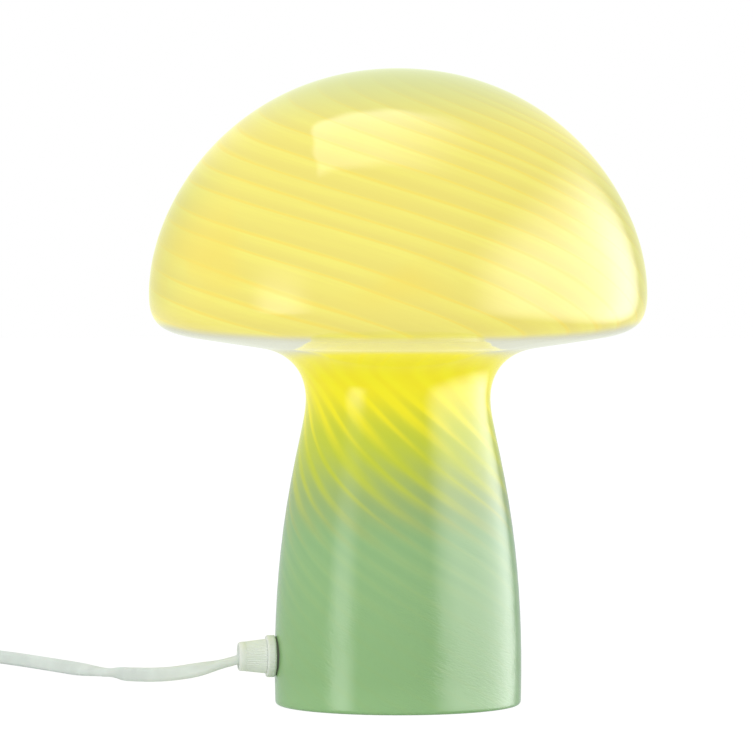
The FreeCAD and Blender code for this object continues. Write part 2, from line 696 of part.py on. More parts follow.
def coil_path():
    quarters = int(round(2 * COIL_TURNS * 4))
    lead_in = Part.LineSegment(coil_point(0) + Vector(0, COIL_LEAD, 0), coil_point(0)).toShape()
    edges = [lead_in]
    for i in range(quarters):
        a, b = i / 4.0, (i + 1) / 4.0
        edges += biarc(coil_point(a), coil_heading(a), coil_point(b), coil_heading(b))
    end = coil_point(quarters / 4.0)
    edges.append(Part.LineSegment(end, end + Vector(0, -COIL_LEAD, 0)).toShape())
    return Part.Wire(edges)


def coil_gap(path):
    """The least gap between turns, measured on points of the centre line as flat sections."""
    points = path.discretize(Distance=2.5)
    flat = (CORD_WIDE - CORD_THIN) / 2
    least = 1e9
    for i, p in enumerate(points):
        for q in points[i + 12:]:
            level = math.hypot(p.x - q.x, p.y - q.y)
            if level < 8:
                upright = max(abs(p.z - q.z) - 2 * flat, 0)
                least = min(least, math.hypot(level, upright) - CORD_THIN)
    return least


def cord_coil():
    path = coil_path()
    print("coil length", round(path.Length, 1), "least gap between turns", round(coil_gap(path), 2))
    coil = swept(path, flat_section(path, Vector(0, 0, 1)))
    section = CORD_THIN * (CORD_WIDE - CORD_THIN) + math.pi * CORD_THIN ** 2 / 4
    print("coil volume / section x length", round(coil.Volume / (section * path.Length), 4))
    return coil


def coil_tie(bearing):
    """A flat strap round the bundle, with its head on the outside and a short tail."""
    turns = [bearing / 360.0 - 0.5 + i for i in range(-1, int(2 * COIL_TURNS) + 2)]
    radii = [coil_state(turn)[0] for turn in turns if 0 <= turn <= 2 * COIL_TURNS]
    half = CORD_THIN / 2 + 0.6
    r0, r1 = min(radii) - half, max(radii) + half
    z0, z1 = TIE_T, COIL_LOW_Z + LAYER_PITCH + CORD_R + 0.3
    strap = block(r0 - TIE_T, r1 + TIE_T, -2.5, 2.5, 0, z1 + TIE_T).cut(block(r0, r1, -3, 3, z0, z1))
    head = block(r1 + TIE_T, r1 + TIE_T + 3.2, -3.4, 3.4, z1 - 6.0, z1 - 1.5)
    tail = block(r1 + TIE_T + 1.2, r1 + TIE_T + 2.0, -2.5, 2.5, z1 - 2.0, z1 + 6.0)
    tie = fused([strap, head, tail])
    tie.rotate(Vector(0, 0, 0), Vector(0, 0, 1), bearing)
    return moved(tie, COIL_CENTRE.x, COIL_CENTRE.y, 0)


# ---------------------------------------------------------------- in-line switch
# Made about its own centre with its length along Y, then put in place.
def switch_outline(shrink=0.0):
    """Plan of the housing: full width in the middle, drawn in to both cord entries."""
    waist, tip = 12.5 - shrink, 7.2 - shrink
    end, shoulder = SWITCH_HALF - shrink, 13.0

    def side(sx, sy):
        curve = Part.BezierCurve()
        curve.setPoles([Vector(sx * tip, sy * end, 0), Vector(sx * (tip + 2.6), sy * (end - 4), 0),
                        Vector(sx * waist, sy * (shoulder + 8), 0), Vector(sx * waist, sy * shoulder, 0)])
        return curve.toShape()

    def line(x0, y0, x1, y1):
        return Part.LineSegment(Vector(x0, y0, 0), Vector(x1, y1, 0)).toShape()

    edges = [side(sx, sy) for sx in (-1, 1) for sy in (-1, 1)]
    for sign in (-1, 1):
        edges.append(line(-tip, sign * end, tip, sign * end))
        edges.append(line(sign * waist, -shoulder, sign * waist, shoulder))
    return Part.Face(Part.Wire(Part.__sortEdges__(edges)))


def switch_half(z0, z1, rounded_z, radius):
    """One solid half of the housing, with the edges at one height rounded."""
    solid = moved(switch_outline().extrude(Vector(0, 0, z1 - z0)), 0, 0, z0)
    rim = [edge for edge in solid.Edges
           if all(abs(vertex.Z - rounded_z) < 1e-6 for vertex in edge.Vertexes)]
    return solid.makeFillet(radius, rim)


COVER_SCREWS = [(-8.5, 10.6), (8.5, -10.6)]
CLAMP_Y = 23.5
CLAMP_SCREW_X = 4.6
LIVE_X = -4.0
NEUTRAL_X = 4.0
TERMINAL_Y = 11.6
WINDOW_X = 6.5
WINDOW_Y = 11.3


def cord_bores(radius):
    """The two cord entries, at both ends of the switch."""
    bores = Part.makeCylinder(radius, 14, Vector(0, -SWITCH_HALF - 1, SWITCH_SPLIT_Z), Vector(0, 1, 0))
    other = Part.makeCylinder(radius, 14, Vector(0, SWITCH_HALF + 1, SWITCH_SPLIT_Z), Vector(0, -1, 0))
    return Part.makeCompound([bores, other])


def switch_base():
    shell = switch_half(0, SWITCH_SPLIT_Z, 0, 1.8)
    hollow = moved(switch_outline(SWITCH_WALL).extrude(Vector(0, 0, 10)), 0, 0, 2.0)
    shell = shell.cut(hollow)
    extras = []
    for x, y in COVER_SCREWS:
        extras.append(rod(2.3, 1.0, SWITCH_SPLIT_Z, x, y))
    for sy in (-1, 1):
        extras.append(block(-6.6, 6.6, sy * CLAMP_Y - 2.2, sy * CLAMP_Y + 2.2, 1.5, SWITCH_SPLIT_Z - 1.0))
    shell = fused([shell] + extras)
    cuts = [cord_bores(CORD_R + RUN)]
    for x, y in COVER_SCREWS:
        cuts += [rod(1.3, -1, 9, x, y), rod(2.1, -1, 2.4, x, y)]
    for sy in (-1, 1):
        for sx in (-1, 1):
            cuts.append(rod(1.0, 3.0, 9, sx * CLAMP_SCREW_X, sy * CLAMP_Y))
    for cut in cuts:
        shell = shell.cut(cut)
    return shell


def switch_cover():
    shell = switch_half(SWITCH_SPLIT_Z, SWITCH_TOP_Z, SWITCH_TOP_Z, 2.6)
    hollow_high = SWITCH_TOP_Z - SWITCH_WALL - 7
    hollow = moved(switch_outline(SWITCH_WALL).extrude(Vector(0, 0, hollow_high)), 0, 0, 7)
    shell = shell.cut(hollow)
    shell = shell.cut(block(-WINDOW_X, WINDOW_X, -WINDOW_Y, WINDOW_Y, 12, 20))
    extras = [rod(2.3, SWITCH_SPLIT_Z, SWITCH_TOP_Z - 1, x, y) for x, y in COVER_SCREWS]
    for sx in (-1, 1):
        x0, x1 = sorted((sx * WINDOW_X, sx * (WINDOW_X + 1.8)))
        extras.append(block(x0, x1, -3.6, 3.6, 8.6, SWITCH_TOP_Z - 1))
    shell = fused([shell] + extras)
    pivot = Part.makeCylinder(1.5 + RUN, 20, Vector(-10, 0, ROCKER_PIVOT_Z), Vector(1, 0, 0))
    shell = shell.cut(pivot).cut(cord_bores(CORD_R + RUN))
    for x, y in COVER_SCREWS:
        shell = shell.cut(rod(1.1, 7, 13.5, x, y))
    return shell


def tilted(shape, degrees, z):
    """Turn a piece about a level axis across the switch at this height."""
    copy = shape.copy()
    copy.rotate(Vector(0, 0, z), Vector(1, 0, 0), degrees)
    return copy


def switch_rocker():
    """Rocker key: a dished top, ends cut to swing clear, and the stem that works the bridge."""
    half = 6.0

    def v(y, z):
        return Vector(-half, y, ROCKER_PIVOT_Z + z)

    top = Part.Arc(v(-10.3, 4.9), v(0, 3.4), v(10.3, 4.9)).toShape()
    rest = [v(10.3, 4.9), v(9.9, 1.3), v(4.0, 0.2), v(3.0, -2.4), v(-3.0, -2.4), v(-4.0, 0.2), v(-9.9, 1.3),
            v(-10.3, 4.9)]
    key = Part.Face(Part.Wire([top] + Part.makePolygon(rest).Edges)).extrude(Vector(2 * half, 0, 0))
    stem = block(-2.2, 2.2, -2.2, 2.2, 7.2, ROCKER_PIVOT_Z - 2)
    pins = Part.makeCylinder(1.5, 16.2, Vector(-8.1, 0, ROCKER_PIVOT_Z), Vector(1, 0, 0))
    solid = fused([key, stem, pins]).cut(rod(1.3, 6, 8.6))
    return tilted(solid, -ROCKER_TILT, ROCKER_PIVOT_Z)


def rocker_plunger():
    """The sprung pin in the rocker's stem that slides on the bridge."""
    pin = turned([(0, 6.3), (0.6, 6.3), (1.25, 6.9), (1.25, 8.6), (0, 8.6)])
    return tilted(pin, -ROCKER_TILT, ROCKER_PIVOT_Z)


def contact_bridge():
    """See-saw contact: a shallow V of strip with a rivet under its closing end."""
    strip = [(-7.2, 0.9), (0, 0.0), (7.2, 0.9), (7.2, 1.5), (0, 0.6), (-7.2, 1.5)]
    points = [Vector(-1.9, y, BRIDGE_PIVOT_Z + z) for y, z in strip]
    plate = Part.Face(Part.makePolygon(points + [points[0]])).extrude(Vector(3.8, 0, 0))
    rivet = rod(1.2, BRIDGE_PIVOT_Z + 0.1, BRIDGE_PIVOT_Z + 1.1, 0, -6.0)
    return tilted(fused([plate, rivet]), BRIDGE_TILT, BRIDGE_PIVOT_Z)


def live_post():
    """The bridge's fulcrum, in one with the outgoing live terminal."""
    foot = block(-5.9, 1.5, -1.6, 1.6, 2.0, 2.8)
    post = Part.Face(Part.makePolygon([Vector(-1.5, -1.6, 2.0), Vector(-1.5, 1.6, 2.0),
                                       Vector(-1.5, 0, BRIDGE_PIVOT_Z - 0.1), Vector(-1.5, -1.6, 2.0)]))
    arm = block(-5.9, -2.6, -1.6, TERMINAL_Y, 2.0, 2.8)
    return fused([foot, post.extrude(Vector(3, 0, 0)), arm, terminal_block(LIVE_X, TERMINAL_Y)])


def fixed_contact():
    """The contact that the bridge closes on, in one with the incoming live terminal."""
    pad = block(-5.9, 1.6, -7.4, -4.6, 2.0, 3.4)
    rivet = rod(1.2, 3.4, 4.25, 0, -6.0)
    arm = block(-5.9, -2.6, -TERMINAL_Y, -4.6, 2.0, 2.8)
    return fused([pad, rivet, arm, terminal_block(LIVE_X, -TERMINAL_Y)])


def terminal_block(x, y):
    """A brass clamp with a cross hole for the wire and a thread for its screw."""
    solid = block(x - 1.9, x + 1.9, y - 2.9, y + 2.9, 2.0, 7.2)
    wire = Part.makeCylinder(CORE_R + RUN, 6, Vector(x, y - 3, 4.6), Vector(0, 1, 0))
    return solid.cut(wire).cut(rod(1.05, 4.6, 8, x, y))


def neutral_link():
    bar = block(NEUTRAL_X - 1.1, NEUTRAL_X + 1.1, -10.0, 10.0, 2.0, 3.4)
    return fused([bar, terminal_block(NEUTRAL_X, -TERMINAL_Y), terminal_block(NEUTRAL_X, TERMINAL_Y)])


def switch_terminal_screws():
    screws = []
    for x in (LIVE_X, NEUTRAL_X):
        for y in (-TERMINAL_Y, TERMINAL_Y):
            screws.append(moved(slotted_screw(1.5, 1.0, 1.0, 1.45, 0.5), x, y, 8.25))
    return screws


def cord_clamps():
    clamps = []
    for sy in (-1, 1):
        y = sy * CLAMP_Y
        bar = block(-6.4, 6.4, y - 2.0, y + 2.0, SWITCH_SPLIT_Z + 1.2, SWITCH_SPLIT_Z + 4.2)
        cord = Part.makeCylinder(CORD_R + RUN, 10, Vector(0, y - 5, SWITCH_SPLIT_Z), Vector(0, 1, 0))
        bar = bar.cut(cord)
        for sx in (-1, 1):
            bar = bar.cut(rod(1.2, 8, 14, sx * CLAMP_SCREW_X, y))
        clamps.append(bar)
    return clamps


def clamp_screws():
    screws = []
    for sy in (-1, 1):
        for sx in (-1, 1):
            screw = slotted_screw(1.7, 1.1, 0.95, 8.0, 0.5)
            screws.append(moved(screw, sx * CLAMP_SCREW_X, sy * CLAMP_Y, SWITCH_SPLIT_Z + 5.3))
    return screws


def cover_screws():
    screws = []
    for x, y in COVER_SCREWS:
        screw = slotted_screw(2.0, 1.4, 1.05, 9.0)
        screw.rotate(Vector(0, 0, 0), Vector(1, 0, 0), 180)
        screws.append(moved(screw, x, y, 1.0))
    return screws


def switch_wires(x):
    """The two stripped-back cores on one side, from the ends of the sheath into the clamps."""
    wires = []
    for sy in (-1, 1):
        out = math.copysign(1.15, x)
        points = [Vector(out, sy * 20.5, SWITCH_SPLIT_Z), Vector(out, sy * 19.0, SWITCH_SPLIT_Z),
                  Vector(x, sy * 16.0, 4.6), Vector(x, sy * 13.5, 4.6)]
        path = smooth_path(points)
        wires.append(swept(path, round_section(CORE_R - 0.1, path)))
    return wires


# ---------------------------------------------------------------- plug
def plug_ring(t, wide, high):
    """One ten-sided section of the plug at a distance from its tail."""
    w, h = wide / 2, high / 2
    chamfer = h * 0.62
    quarter = [(w, 0), (w - chamfer * 0.55, h * 0.75), (w - chamfer, h)]
    half = quarter + [(-x, y) for x, y in quarter[::-1]]
    points = half + [(x, -y) for x, y in half[-2:0:-1]]
    vectors = [Vector(x, y, t) for x, y in points]
    return Part.makePolygon(vectors + [vectors[0]])


def on_plug(shape):
    origin = Vector(PLUG_X, PLUG_TAIL_Y, PLUG_HIGH / 2)
    return laid(shape, origin, Vector(0, -1, 0), Vector(1, 0, 0))


PLUG_FACE = PLUG_RELIEF + PLUG_BODY
PLUG_SEAT = 6.0           # how deep the insert sits in the body


def plug_body():
    """Moulded body that narrows to a finger grip, and the ribbed relief round the cord."""
    sections = [plug_ring(PLUG_RELIEF - 1, 12.0, 9.6), plug_ring(PLUG_RELIEF + 6, 21.0, 11.6),
                plug_ring(PLUG_RELIEF + 14, 28.0, 12.6), plug_ring(PLUG_RELIEF + 21, 33.6, PLUG_HIGH),
                plug_ring(PLUG_FACE - 1.2, PLUG_WIDE, PLUG_HIGH)]
    body = Part.makeLoft(sections, True, True)
    relief = [(0, 0), (3.5, 0)]
    for i in range(5):
        t = 2.6 + 3.6 * i
        r = 3.5 + 0.26 * i
        relief += [(r, t), (r - 0.7, t + 0.2), (r - 0.6, t + 1.6), (r + 0.26, t + 1.8)]
    relief += [(4.7, PLUG_RELIEF), (0, PLUG_RELIEF)]
    solid = body.fuse(turned(relief)).cut(rod(CORD_R + RUN, -1, PLUG_BORE))
    seat = Part.makeLoft([plug_ring(PLUG_FACE - PLUG_SEAT, PLUG_WIDE - 4, PLUG_HIGH - 4),
                          plug_ring(PLUG_FACE, PLUG_WIDE - 4, PLUG_HIGH - 4)], True, True)
    return on_plug(solid.cut(seat))


def plug_insert():
    """The hard insert that holds both pins, seated in the body and forming its face."""
    core = Part.makeLoft([plug_ring(PLUG_FACE - PLUG_SEAT, PLUG_WIDE - 4, PLUG_HIGH - 4),
                          plug_ring(PLUG_FACE - 1.2, PLUG_WIDE - 4, PLUG_HIGH - 4)], True, True)
    face = Part.makeLoft([plug_ring(PLUG_FACE - 1.2, PLUG_WIDE, PLUG_HIGH),
                          plug_ring(PLUG_FACE, PLUG_WIDE - 1.0, PLUG_HIGH - 1.0)], True, True)
    insert = core.fuse(face).removeSplitter()
    for hole in pin_pair(rod(PIN_ROOT_R + 0.02, -5.5, 2)):
        insert = insert.cut(hole)
    return on_plug(insert)


def pin_pair(shape):
    """A piece made along +Z from the plug's face, set on both of the converging pin axes."""
    lean = math.degrees(math.atan((PIN_PITCH_FACE - PIN_PITCH_TIP) / 2 / PIN_LENGTH))
    pair = []
    for sign in (-1, 1):
        copy = shape.copy()
        copy.rotate(Vector(0, 0, 0), Vector(0, 1, 0), -sign * lean)
        pair.append(moved(copy, sign * PIN_PITCH_FACE / 2, 0, PLUG_FACE))
    return pair


def plug_pins():
    """Round brass pins: a root in the insert, a waist under the sleeve and a domed tip."""
    pin = turned([(0, -5.4), (PIN_ROOT_R, -5.4), (PIN_ROOT_R, 0.3), (PIN_WAIST_R, 0.4), (PIN_WAIST_R, 10.0),
                  (PIN_R, 10.1), (PIN_R, PIN_LENGTH - 1.6), (1.5, PIN_LENGTH - 0.5), (0.7, PIN_LENGTH),
                  (0, PIN_LENGTH)])
    return [on_plug(one) for one in pin_pair(pin)]


def pin_sleeves():
    """The insulating sleeves round the pins' waists."""
    return [on_plug(one) for one in pin_pair(ring(PIN_SLEEVE_R, PIN_WAIST_R + 0.01, 0.45, 9.95))]


# ---------------------------------------------------------------- assembly
def at_switch(shape):
    return moved(shape, SWITCH_X, SWITCH_Y, 0)


def build():
    glass = glass_body()
    plate = bracket()
    nodes = {
        "glass_body": glass,
        "neck_bracket": plate,
        "bracket_sleeves": arm_sleeves(glass, plate),
        "upper_clamp_ring": shade_ring(PLATE_Z + PLATE_T, PLATE_Z + PLATE_T + 5, PLATE_Z + PLATE_T),
        "lower_clamp_ring": shade_ring(PLATE_Z - 5, PLATE_Z, PLATE_Z - 1.6),
        "holder_skirt": holder_skirt(),
        "holder_dome": holder_dome(),
        "holder_core": holder_core(),
        "screw_shell": screw_shell(),
        "centre_contact": centre_contact(),
        "side_contact": side_contact(),
        "holder_terminal_screws": terminal_screws(),
        "cord_grip": cord_grip(),
        "cord_grip_screw": grip_screw(),
        "bulb_globe": bulb_globe(),
        "bulb_cap": bulb_cap(),
        "bulb_insulator": bulb_insulator(),
        "bulb_eyelet": bulb_eyelet(),
        "bulb_stem": bulb_stem(),
        "filament_leads": filament_leads(),
        "bulb_filament": bulb_filament(),
        "outlet_body": outlet_body(),
        "outlet_nose": outlet_nose(),
        "outlet_collet": outlet_collet(),
        "outlet_outer_gasket": outlet_gasket(glass, 43.5, FLANGE_S, 7.0),
        "outlet_inner_gasket": outlet_gasket(glass, NUT_S + NUT_T, 42.5, 7.0),
        "outlet_nut": outlet_nut(),
        "inner_lead": inner_lead(),
        "live_core": holder_core_wire(-1),
        "neutral_core": holder_core_wire(1),
        "cord_lamp_to_switch": cord_tube("cord_lamp_to_switch", ROUTE_TO_SWITCH),
        "cord_switch_to_coil": cord_tube("cord_switch_to_coil", ROUTE_TO_COIL),
        "cord_coil": cord_coil(),
        "cord_coil_to_plug": cord_tube("cord_coil_to_plug", ROUTE_TO_PLUG),
        "coil_ties": [coil_tie(60.0), coil_tie(240.0)],
        "switch_base": at_switch(switch_base()),
        "switch_cover": at_switch(switch_cover()),
        "switch_rocker": at_switch(switch_rocker()),
        "rocker_plunger": at_switch(rocker_plunger()),
        "contact_bridge": at_switch(contact_bridge()),
        "live_post": at_switch(live_post()),
        "fixed_contact": at_switch(fixed_contact()),
        "neutral_link": at_switch(neutral_link()),
        "switch_terminal_screws": [at_switch(one) for one in switch_terminal_screws()],
        "cord_clamps": [at_switch(one) for one in cord_clamps()],
        "clamp_screws": [at_switch(one) for one in clamp_screws()],
        "cover_screws": [at_switch(one) for one in cover_screws()],
        "switch_live_wires": [at_switch(one) for one in switch_wires(LIVE_X)],
        "switch_neutral_wires": [at_switch(one) for one in switch_wires(NEUTRAL_X)],
        "plug_body": plug_body(),
        "plug_insert": plug_insert(),
        "plug_pins": plug_pins(),
        "pin_sleeves": pin_sleeves(),
    }
    os.makedirs("parts", exist_ok=True)
    for name, shape in nodes.items():
        if isinstance(shape, list):
            shape = Part.makeCompound(shape)
        if not shape.isValid() or not shape.Solids:
            print("NOT VALID", name, shape.ShapeType)
        print(name, "solids", len(shape.Solids), "volume", round(shape.Volume, 1))
        shape.exportStep("parts/" + name + ".step")


build()
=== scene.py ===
"""A mushroom table lamp of swirled green glass, laid out as a Blender add-on.

The CAD frame gives every place and size. The glass, the cord outlet and the flex are made
again here as finer surfaces; the holder, bulb, switch and plug keep their CAD solids and get
their finishes here. Heights and radii in named tuples are millimetres; meshes are metres.
"""

import math

import bpy
import numpy as np
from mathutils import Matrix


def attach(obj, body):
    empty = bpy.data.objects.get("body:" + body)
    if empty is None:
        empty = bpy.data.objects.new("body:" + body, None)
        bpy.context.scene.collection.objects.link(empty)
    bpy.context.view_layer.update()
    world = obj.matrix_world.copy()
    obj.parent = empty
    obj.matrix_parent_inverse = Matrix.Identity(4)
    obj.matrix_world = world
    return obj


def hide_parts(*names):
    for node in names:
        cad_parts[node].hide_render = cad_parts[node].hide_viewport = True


bl_info = {
    "name": "Mushroom table lamp",
    "version": (1, 0, 0),
    "blender": (4, 5, 0),
    "location": "3D View > Sidebar > Mushroom lamp",
    "description": "Swirled glass lamp with its flex, in-line switch and plug",
    "category": "Add Mesh",
}

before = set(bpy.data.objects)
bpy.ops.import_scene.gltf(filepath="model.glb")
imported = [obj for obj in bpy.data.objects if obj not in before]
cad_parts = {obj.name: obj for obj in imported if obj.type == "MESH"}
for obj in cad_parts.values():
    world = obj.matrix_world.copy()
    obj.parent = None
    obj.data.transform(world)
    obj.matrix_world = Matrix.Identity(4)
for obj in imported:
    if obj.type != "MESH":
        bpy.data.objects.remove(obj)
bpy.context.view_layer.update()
MM = 0.001


# ------------------------------------------------------------------ sizes and colours
def colour_property(name, value, description):
    """A colour of the panel, in linear light."""
    return bpy.props.FloatVectorProperty(
        name=name, description=description, default=value, subtype="COLOR", min=0.0, max=1.0)


def length_property(name, millimetres, description):
    """A length of the panel, kept in metres as Blender does."""
    return bpy.props.FloatProperty(
        name=name, description=description, default=millimetres * MM, unit="LENGTH", precision=5)


class LampSizes(bpy.types.PropertyGroup):
    """Sizes that change the look of the glass, the flex and the view of them."""

    swirl_count: bpy.props.IntProperty(
        name="Swirl stripes", default=22, min=6, max=60,
        description="Ribs of coloured glass round the body")
    ridge_height: length_property(
        "Ridge height", 0.03, "How far a rib of the swirl stands out of the glass")
    glass_wall: length_property("Glass wall", 3.5, "Thickness of the blown glass")
    flex_width: length_property("Flex width", 5.2, "Wide side of the flat flex")
    flex_thickness: length_property("Flex thickness", 3.2, "Thin side of the flat flex")
    camera_distance: length_property(
        "Camera distance", 1800.0, "From the lamp's axis to the camera")
    camera_height: length_property("Camera height", 172.0, "Above the table")


class LampColours(bpy.types.PropertyGroup):
    """Colours of the finishes, in linear light, with the painted glow of the bulb on the glass."""

    mint: colour_property("Mint", (0.315, 0.55, 0.25), "Unlit green of the glass in the stem")
    # Sage to crown: the glass's green with the bulb's glow painted into it, painted light that the
    # glass emits though it is no lamp.
    sage_glow: colour_property("Sage", (0.37, 0.53, 0.20), "Stem where the glow begins")
    lime_glow: colour_property(
        "Lime", (0.60, 0.69, 0.05), "Stem where the glow is half its full strength")
    lemon_glow: colour_property("Lemon", (1.0, 0.92, 0.012), "Neck, next to the bulb")
    straw_glow: colour_property("Straw", (0.93, 0.81, 0.19), "Thick bands of glass in front of the bulb")
    amber_glow: colour_property("Amber", (1.0, 0.92, 0.20), "Thin bands of glass in front of the bulb")
    thread_glow: colour_property(
        "Thread", (1.0, 0.81, 0.14), "Warm line on the upper edge of a thin band")
    crown: colour_property("Crown", (0.69, 0.74, 0.30), "Paler green at the crown")
    # Painted shade: the cap's lower face seen edge on, with little of the painted glow.
    underside_shade: colour_property(
        "Underside", (0.62, 0.59, 0.42), "Underside of the cap, away from the neck")
    # Painted shade: the share of the painted glow that is left where the glass is seen aslant.
    depth: colour_property(
        "Depth", (0.80, 0.85, 0.75), "What is left of the glow in glass seen aslant")
    haze: colour_property("Haze", (0.62, 0.68, 0.66), "The room as it shows in the gloss")
    flex: colour_property("Flex", (0.80, 0.87, 0.82), "Sheath of the flex")
    outlet: colour_property("Outlet", (0.90, 0.95, 0.90), "Cord outlet in the foot")
    shell_white: colour_property("White plastic", (0.72, 0.73, 0.70), "Switch and plug")
    holder: colour_property("Holder", (0.70, 0.70, 0.66), "Lamp holder and its rings")
    zinc: colour_property("Zinc", (0.60, 0.61, 0.62), "Zinc-plated steel")
    brass: colour_property("Brass", (0.72, 0.50, 0.20), "Brass shell, contacts and pins")


# ------------------------------------------------------------------ surfaces
def bezier(a, b, c, d, count):
    """A cubic: (1-t)^3 a + 3t(1-t)^2 b + 3t^2(1-t) c + t^3 d, at even steps of t."""
    t = np.linspace(0.0, 1.0, count)[:, None]
    a, b, c, d = (np.array(p, float) for p in (a, b, c, d))
    return (1 - t) ** 3 * a + 3 * t * (1 - t) ** 2 * b + 3 * t * t * (1 - t) * c + t ** 3 * d


def arc(centre, radius, start, end, count):
    """Part of a circle in the profile's plane, between two angles in degrees."""
    angle = np.radians(np.linspace(start, end, count))
    return np.array(centre) + radius * np.stack([np.cos(angle), np.sin(angle)], axis=1)


def along(points):
    """Distance travelled at each point of a line."""
    steps = np.linalg.norm(np.diff(points, axis=0), axis=1)
    return np.concatenate([[0.0], np.cumsum(steps)])


def even(points, step):
    """The same line with its points about one step apart."""
    distance = along(points)
    count = max(int(round(distance[-1] / step)), 2) + 1
    wanted = np.linspace(0.0, distance[-1], count)
    return np.stack([np.interp(wanted, distance, column) for column in points.T], axis=1)


def smooth_step(low, high, value):
    """0 below low, 1 above high, and 3t^2 - 2t^3 between them."""
    t = np.clip((value - low) / (high - low), 0.0, 1.0)
    return t * t * (3 - 2 * t)


def unit(vectors):
    return vectors / np.linalg.norm(vectors, axis=-1, keepdims=True)


def skin(name, rings, start=None, end=None, loop=False):
    """A mesh over closed rings of points, rings[i, j]: four-sided faces between neighbours,
    a fan to a start and an end point where they are given, or the last ring joined to the first."""
    rows, across = rings.shape[:2]
    index = np.arange(rows * across).reshape(rows, across)
    if loop:
        index = np.vstack([index, index[:1]])
    here, there = index[:-1], index[1:]
    quads = np.stack([here, np.roll(here, -1, 1), np.roll(there, -1, 1), there], axis=-1)
    faces = quads.reshape(-1, 4).tolist()
    points = [rings.reshape(-1, 3)]
    for tip, ring, turn in ((start, index[0], 1), (end, index[-1], -1)):
        if tip is not None:
            hub = sum(len(p) for p in points)
            points.append(np.array(tip, float).reshape(1, 3))
            fan = np.stack([np.roll(ring, -1), ring, np.full(across, hub)], axis=-1)[:, ::turn]
            faces += fan.tolist()
    mesh = bpy.data.meshes.new(name)
    mesh.from_pydata(np.vstack(points).tolist(), [], faces)
    mesh.polygons.foreach_set("use_smooth", np.ones(len(mesh.polygons), bool))
    mesh.update()
    piece = bpy.data.objects.new(name, mesh)
    bpy.context.collection.objects.link(piece)
    return piece


def carved(piece, cutter):
    """The piece with the cutter's space taken out, as a plain mesh."""
    knife = piece.modifiers.new("Cut", "BOOLEAN")
    knife.operation, knife.solver, knife.object = "DIFFERENCE", "EXACT", cutter
    seen = piece.evaluated_get(bpy.context.evaluated_depsgraph_get())
    mesh = bpy.data.meshes.new_from_object(seen)
    piece.modifiers.clear()
    old, piece.data = piece.data, mesh
    bpy.data.meshes.remove(old)
    bpy.data.objects.remove(cutter)
    mesh.name = piece.name


# ------------------------------------------------------------------ node trees
class Tree:
    """Short words for a node tree: a socket given as a value is linked, any other value is set."""

    def __init__(self, tree):
        self.tree = tree

    def join(self, value, socket):
        if isinstance(value, bpy.types.NodeSocket):
            self.tree.links.new(value, socket)
        else:
            socket.default_value = value

    def add(self, kind, inputs=None, **settings):
        node = self.tree.nodes.new(kind)
        for name, value in settings.items():
            setattr(node, name, value)
        for name, value in (inputs or {}).items():
            self.join(value, node.inputs[name])
        return node

    def math(self, operation, *values):
        node = self.add("ShaderNodeMath", operation=operation)
        for socket, value in zip(node.inputs, values):
            self.join(value, socket)
        return node.outputs[0]

    def ramp(self, value, low, high, out_low=0.0, out_high=1.0):
        """A smooth step from one value to another between two heights or sizes."""
        node = self.add("ShaderNodeMapRange", {
            "Value": value, "From Min": low, "From Max": high,
            "To Min": out_low, "To Max": out_high}, interpolation_type="SMOOTHSTEP")
        return node.outputs["Result"]

    def mix(self, share, first, second, blend="MIX"):
        node = self.add("ShaderNodeMix", data_type="RGBA", blend_type=blend, clamp_factor=True)
        self.join(share, node.inputs[0])
        for value, socket in ((first, node.inputs[6]), (second, node.inputs[7])):
            self.join(opaque(value), socket)
        return node.outputs[2]

    def noise(self, vector, scale, detail=2.0, roughness=0.5, distortion=0.0):
        node = self.add("ShaderNodeTexNoise", {
            "Vector": vector, "Scale": scale, "Detail": detail, "Roughness": roughness,
            "Distortion": distortion})
        return node.outputs["Fac"]

    def grey(self, value):
        """One number as a colour of three equal parts."""
        return self.add("ShaderNodeCombineColor", {
            "Red": value, "Green": value, "Blue": value}).outputs[0]

    def stretched(self, vector, scale):
        """Object coordinates pulled along the axes, for grain that runs one way."""
        return self.add("ShaderNodeMapping", {"Vector": vector, "Scale": scale}).outputs["Vector"]

    def object_point(self):
        return self.add("ShaderNodeTexCoord").outputs["Object"]

    def group(self, group, inputs):
        node = self.add("ShaderNodeGroup", node_tree=group)
        for name, value in inputs.items():
            self.join(value, node.inputs[name])
        return node.outputs


def opaque(colour):
    """Three numbers of a colour as four."""
    if isinstance(colour, bpy.types.NodeSocket) or len(colour) == 4:
        return colour
    return (*tuple(colour), 1.0)


def shared_group(name, inputs, outputs, build):
    """A node group made once: its sockets, and what build() puts between them."""
    group = bpy.data.node_groups.get(name)
    if group:
        return group
    group = bpy.data.node_groups.new(name, "ShaderNodeTree")
    for socket, (kind, value) in inputs.items():
        made = group.interface.new_socket(socket, in_out="INPUT", socket_type="NodeSocket" + kind)
        if value is not None:
            made.default_value = value
    for socket, kind in outputs.items():
        group.interface.new_socket(socket, in_out="OUTPUT", socket_type="NodeSocket" + kind)
    tree = Tree(group)
    given = tree.add("NodeGroupInput").outputs
    result = tree.add("NodeGroupOutput")
    for socket, value in build(tree, given).items():
        tree.join(value, result.inputs[socket])
    return group


def moulding_group():
    """Moulded plastic: slow cloudiness for the colour and a fine grain for the height."""
    def build(tree, given):
        cloud = tree.noise(given["Point"], 60.0, 3.0)
        grain = tree.noise(given["Point"], given["Grain"], 2.0, 0.6)
        shade = tree.ramp(cloud, 0.3, 0.7, 0.94, 1.04)
        return {"Shade": shade, "Grain": grain}
    return shared_group(
        "Moulded grain", {"Point": ("Vector", None), "Grain": ("Float", 2500.0)},
        {"Shade": "Float", "Grain": "Float"}, build)


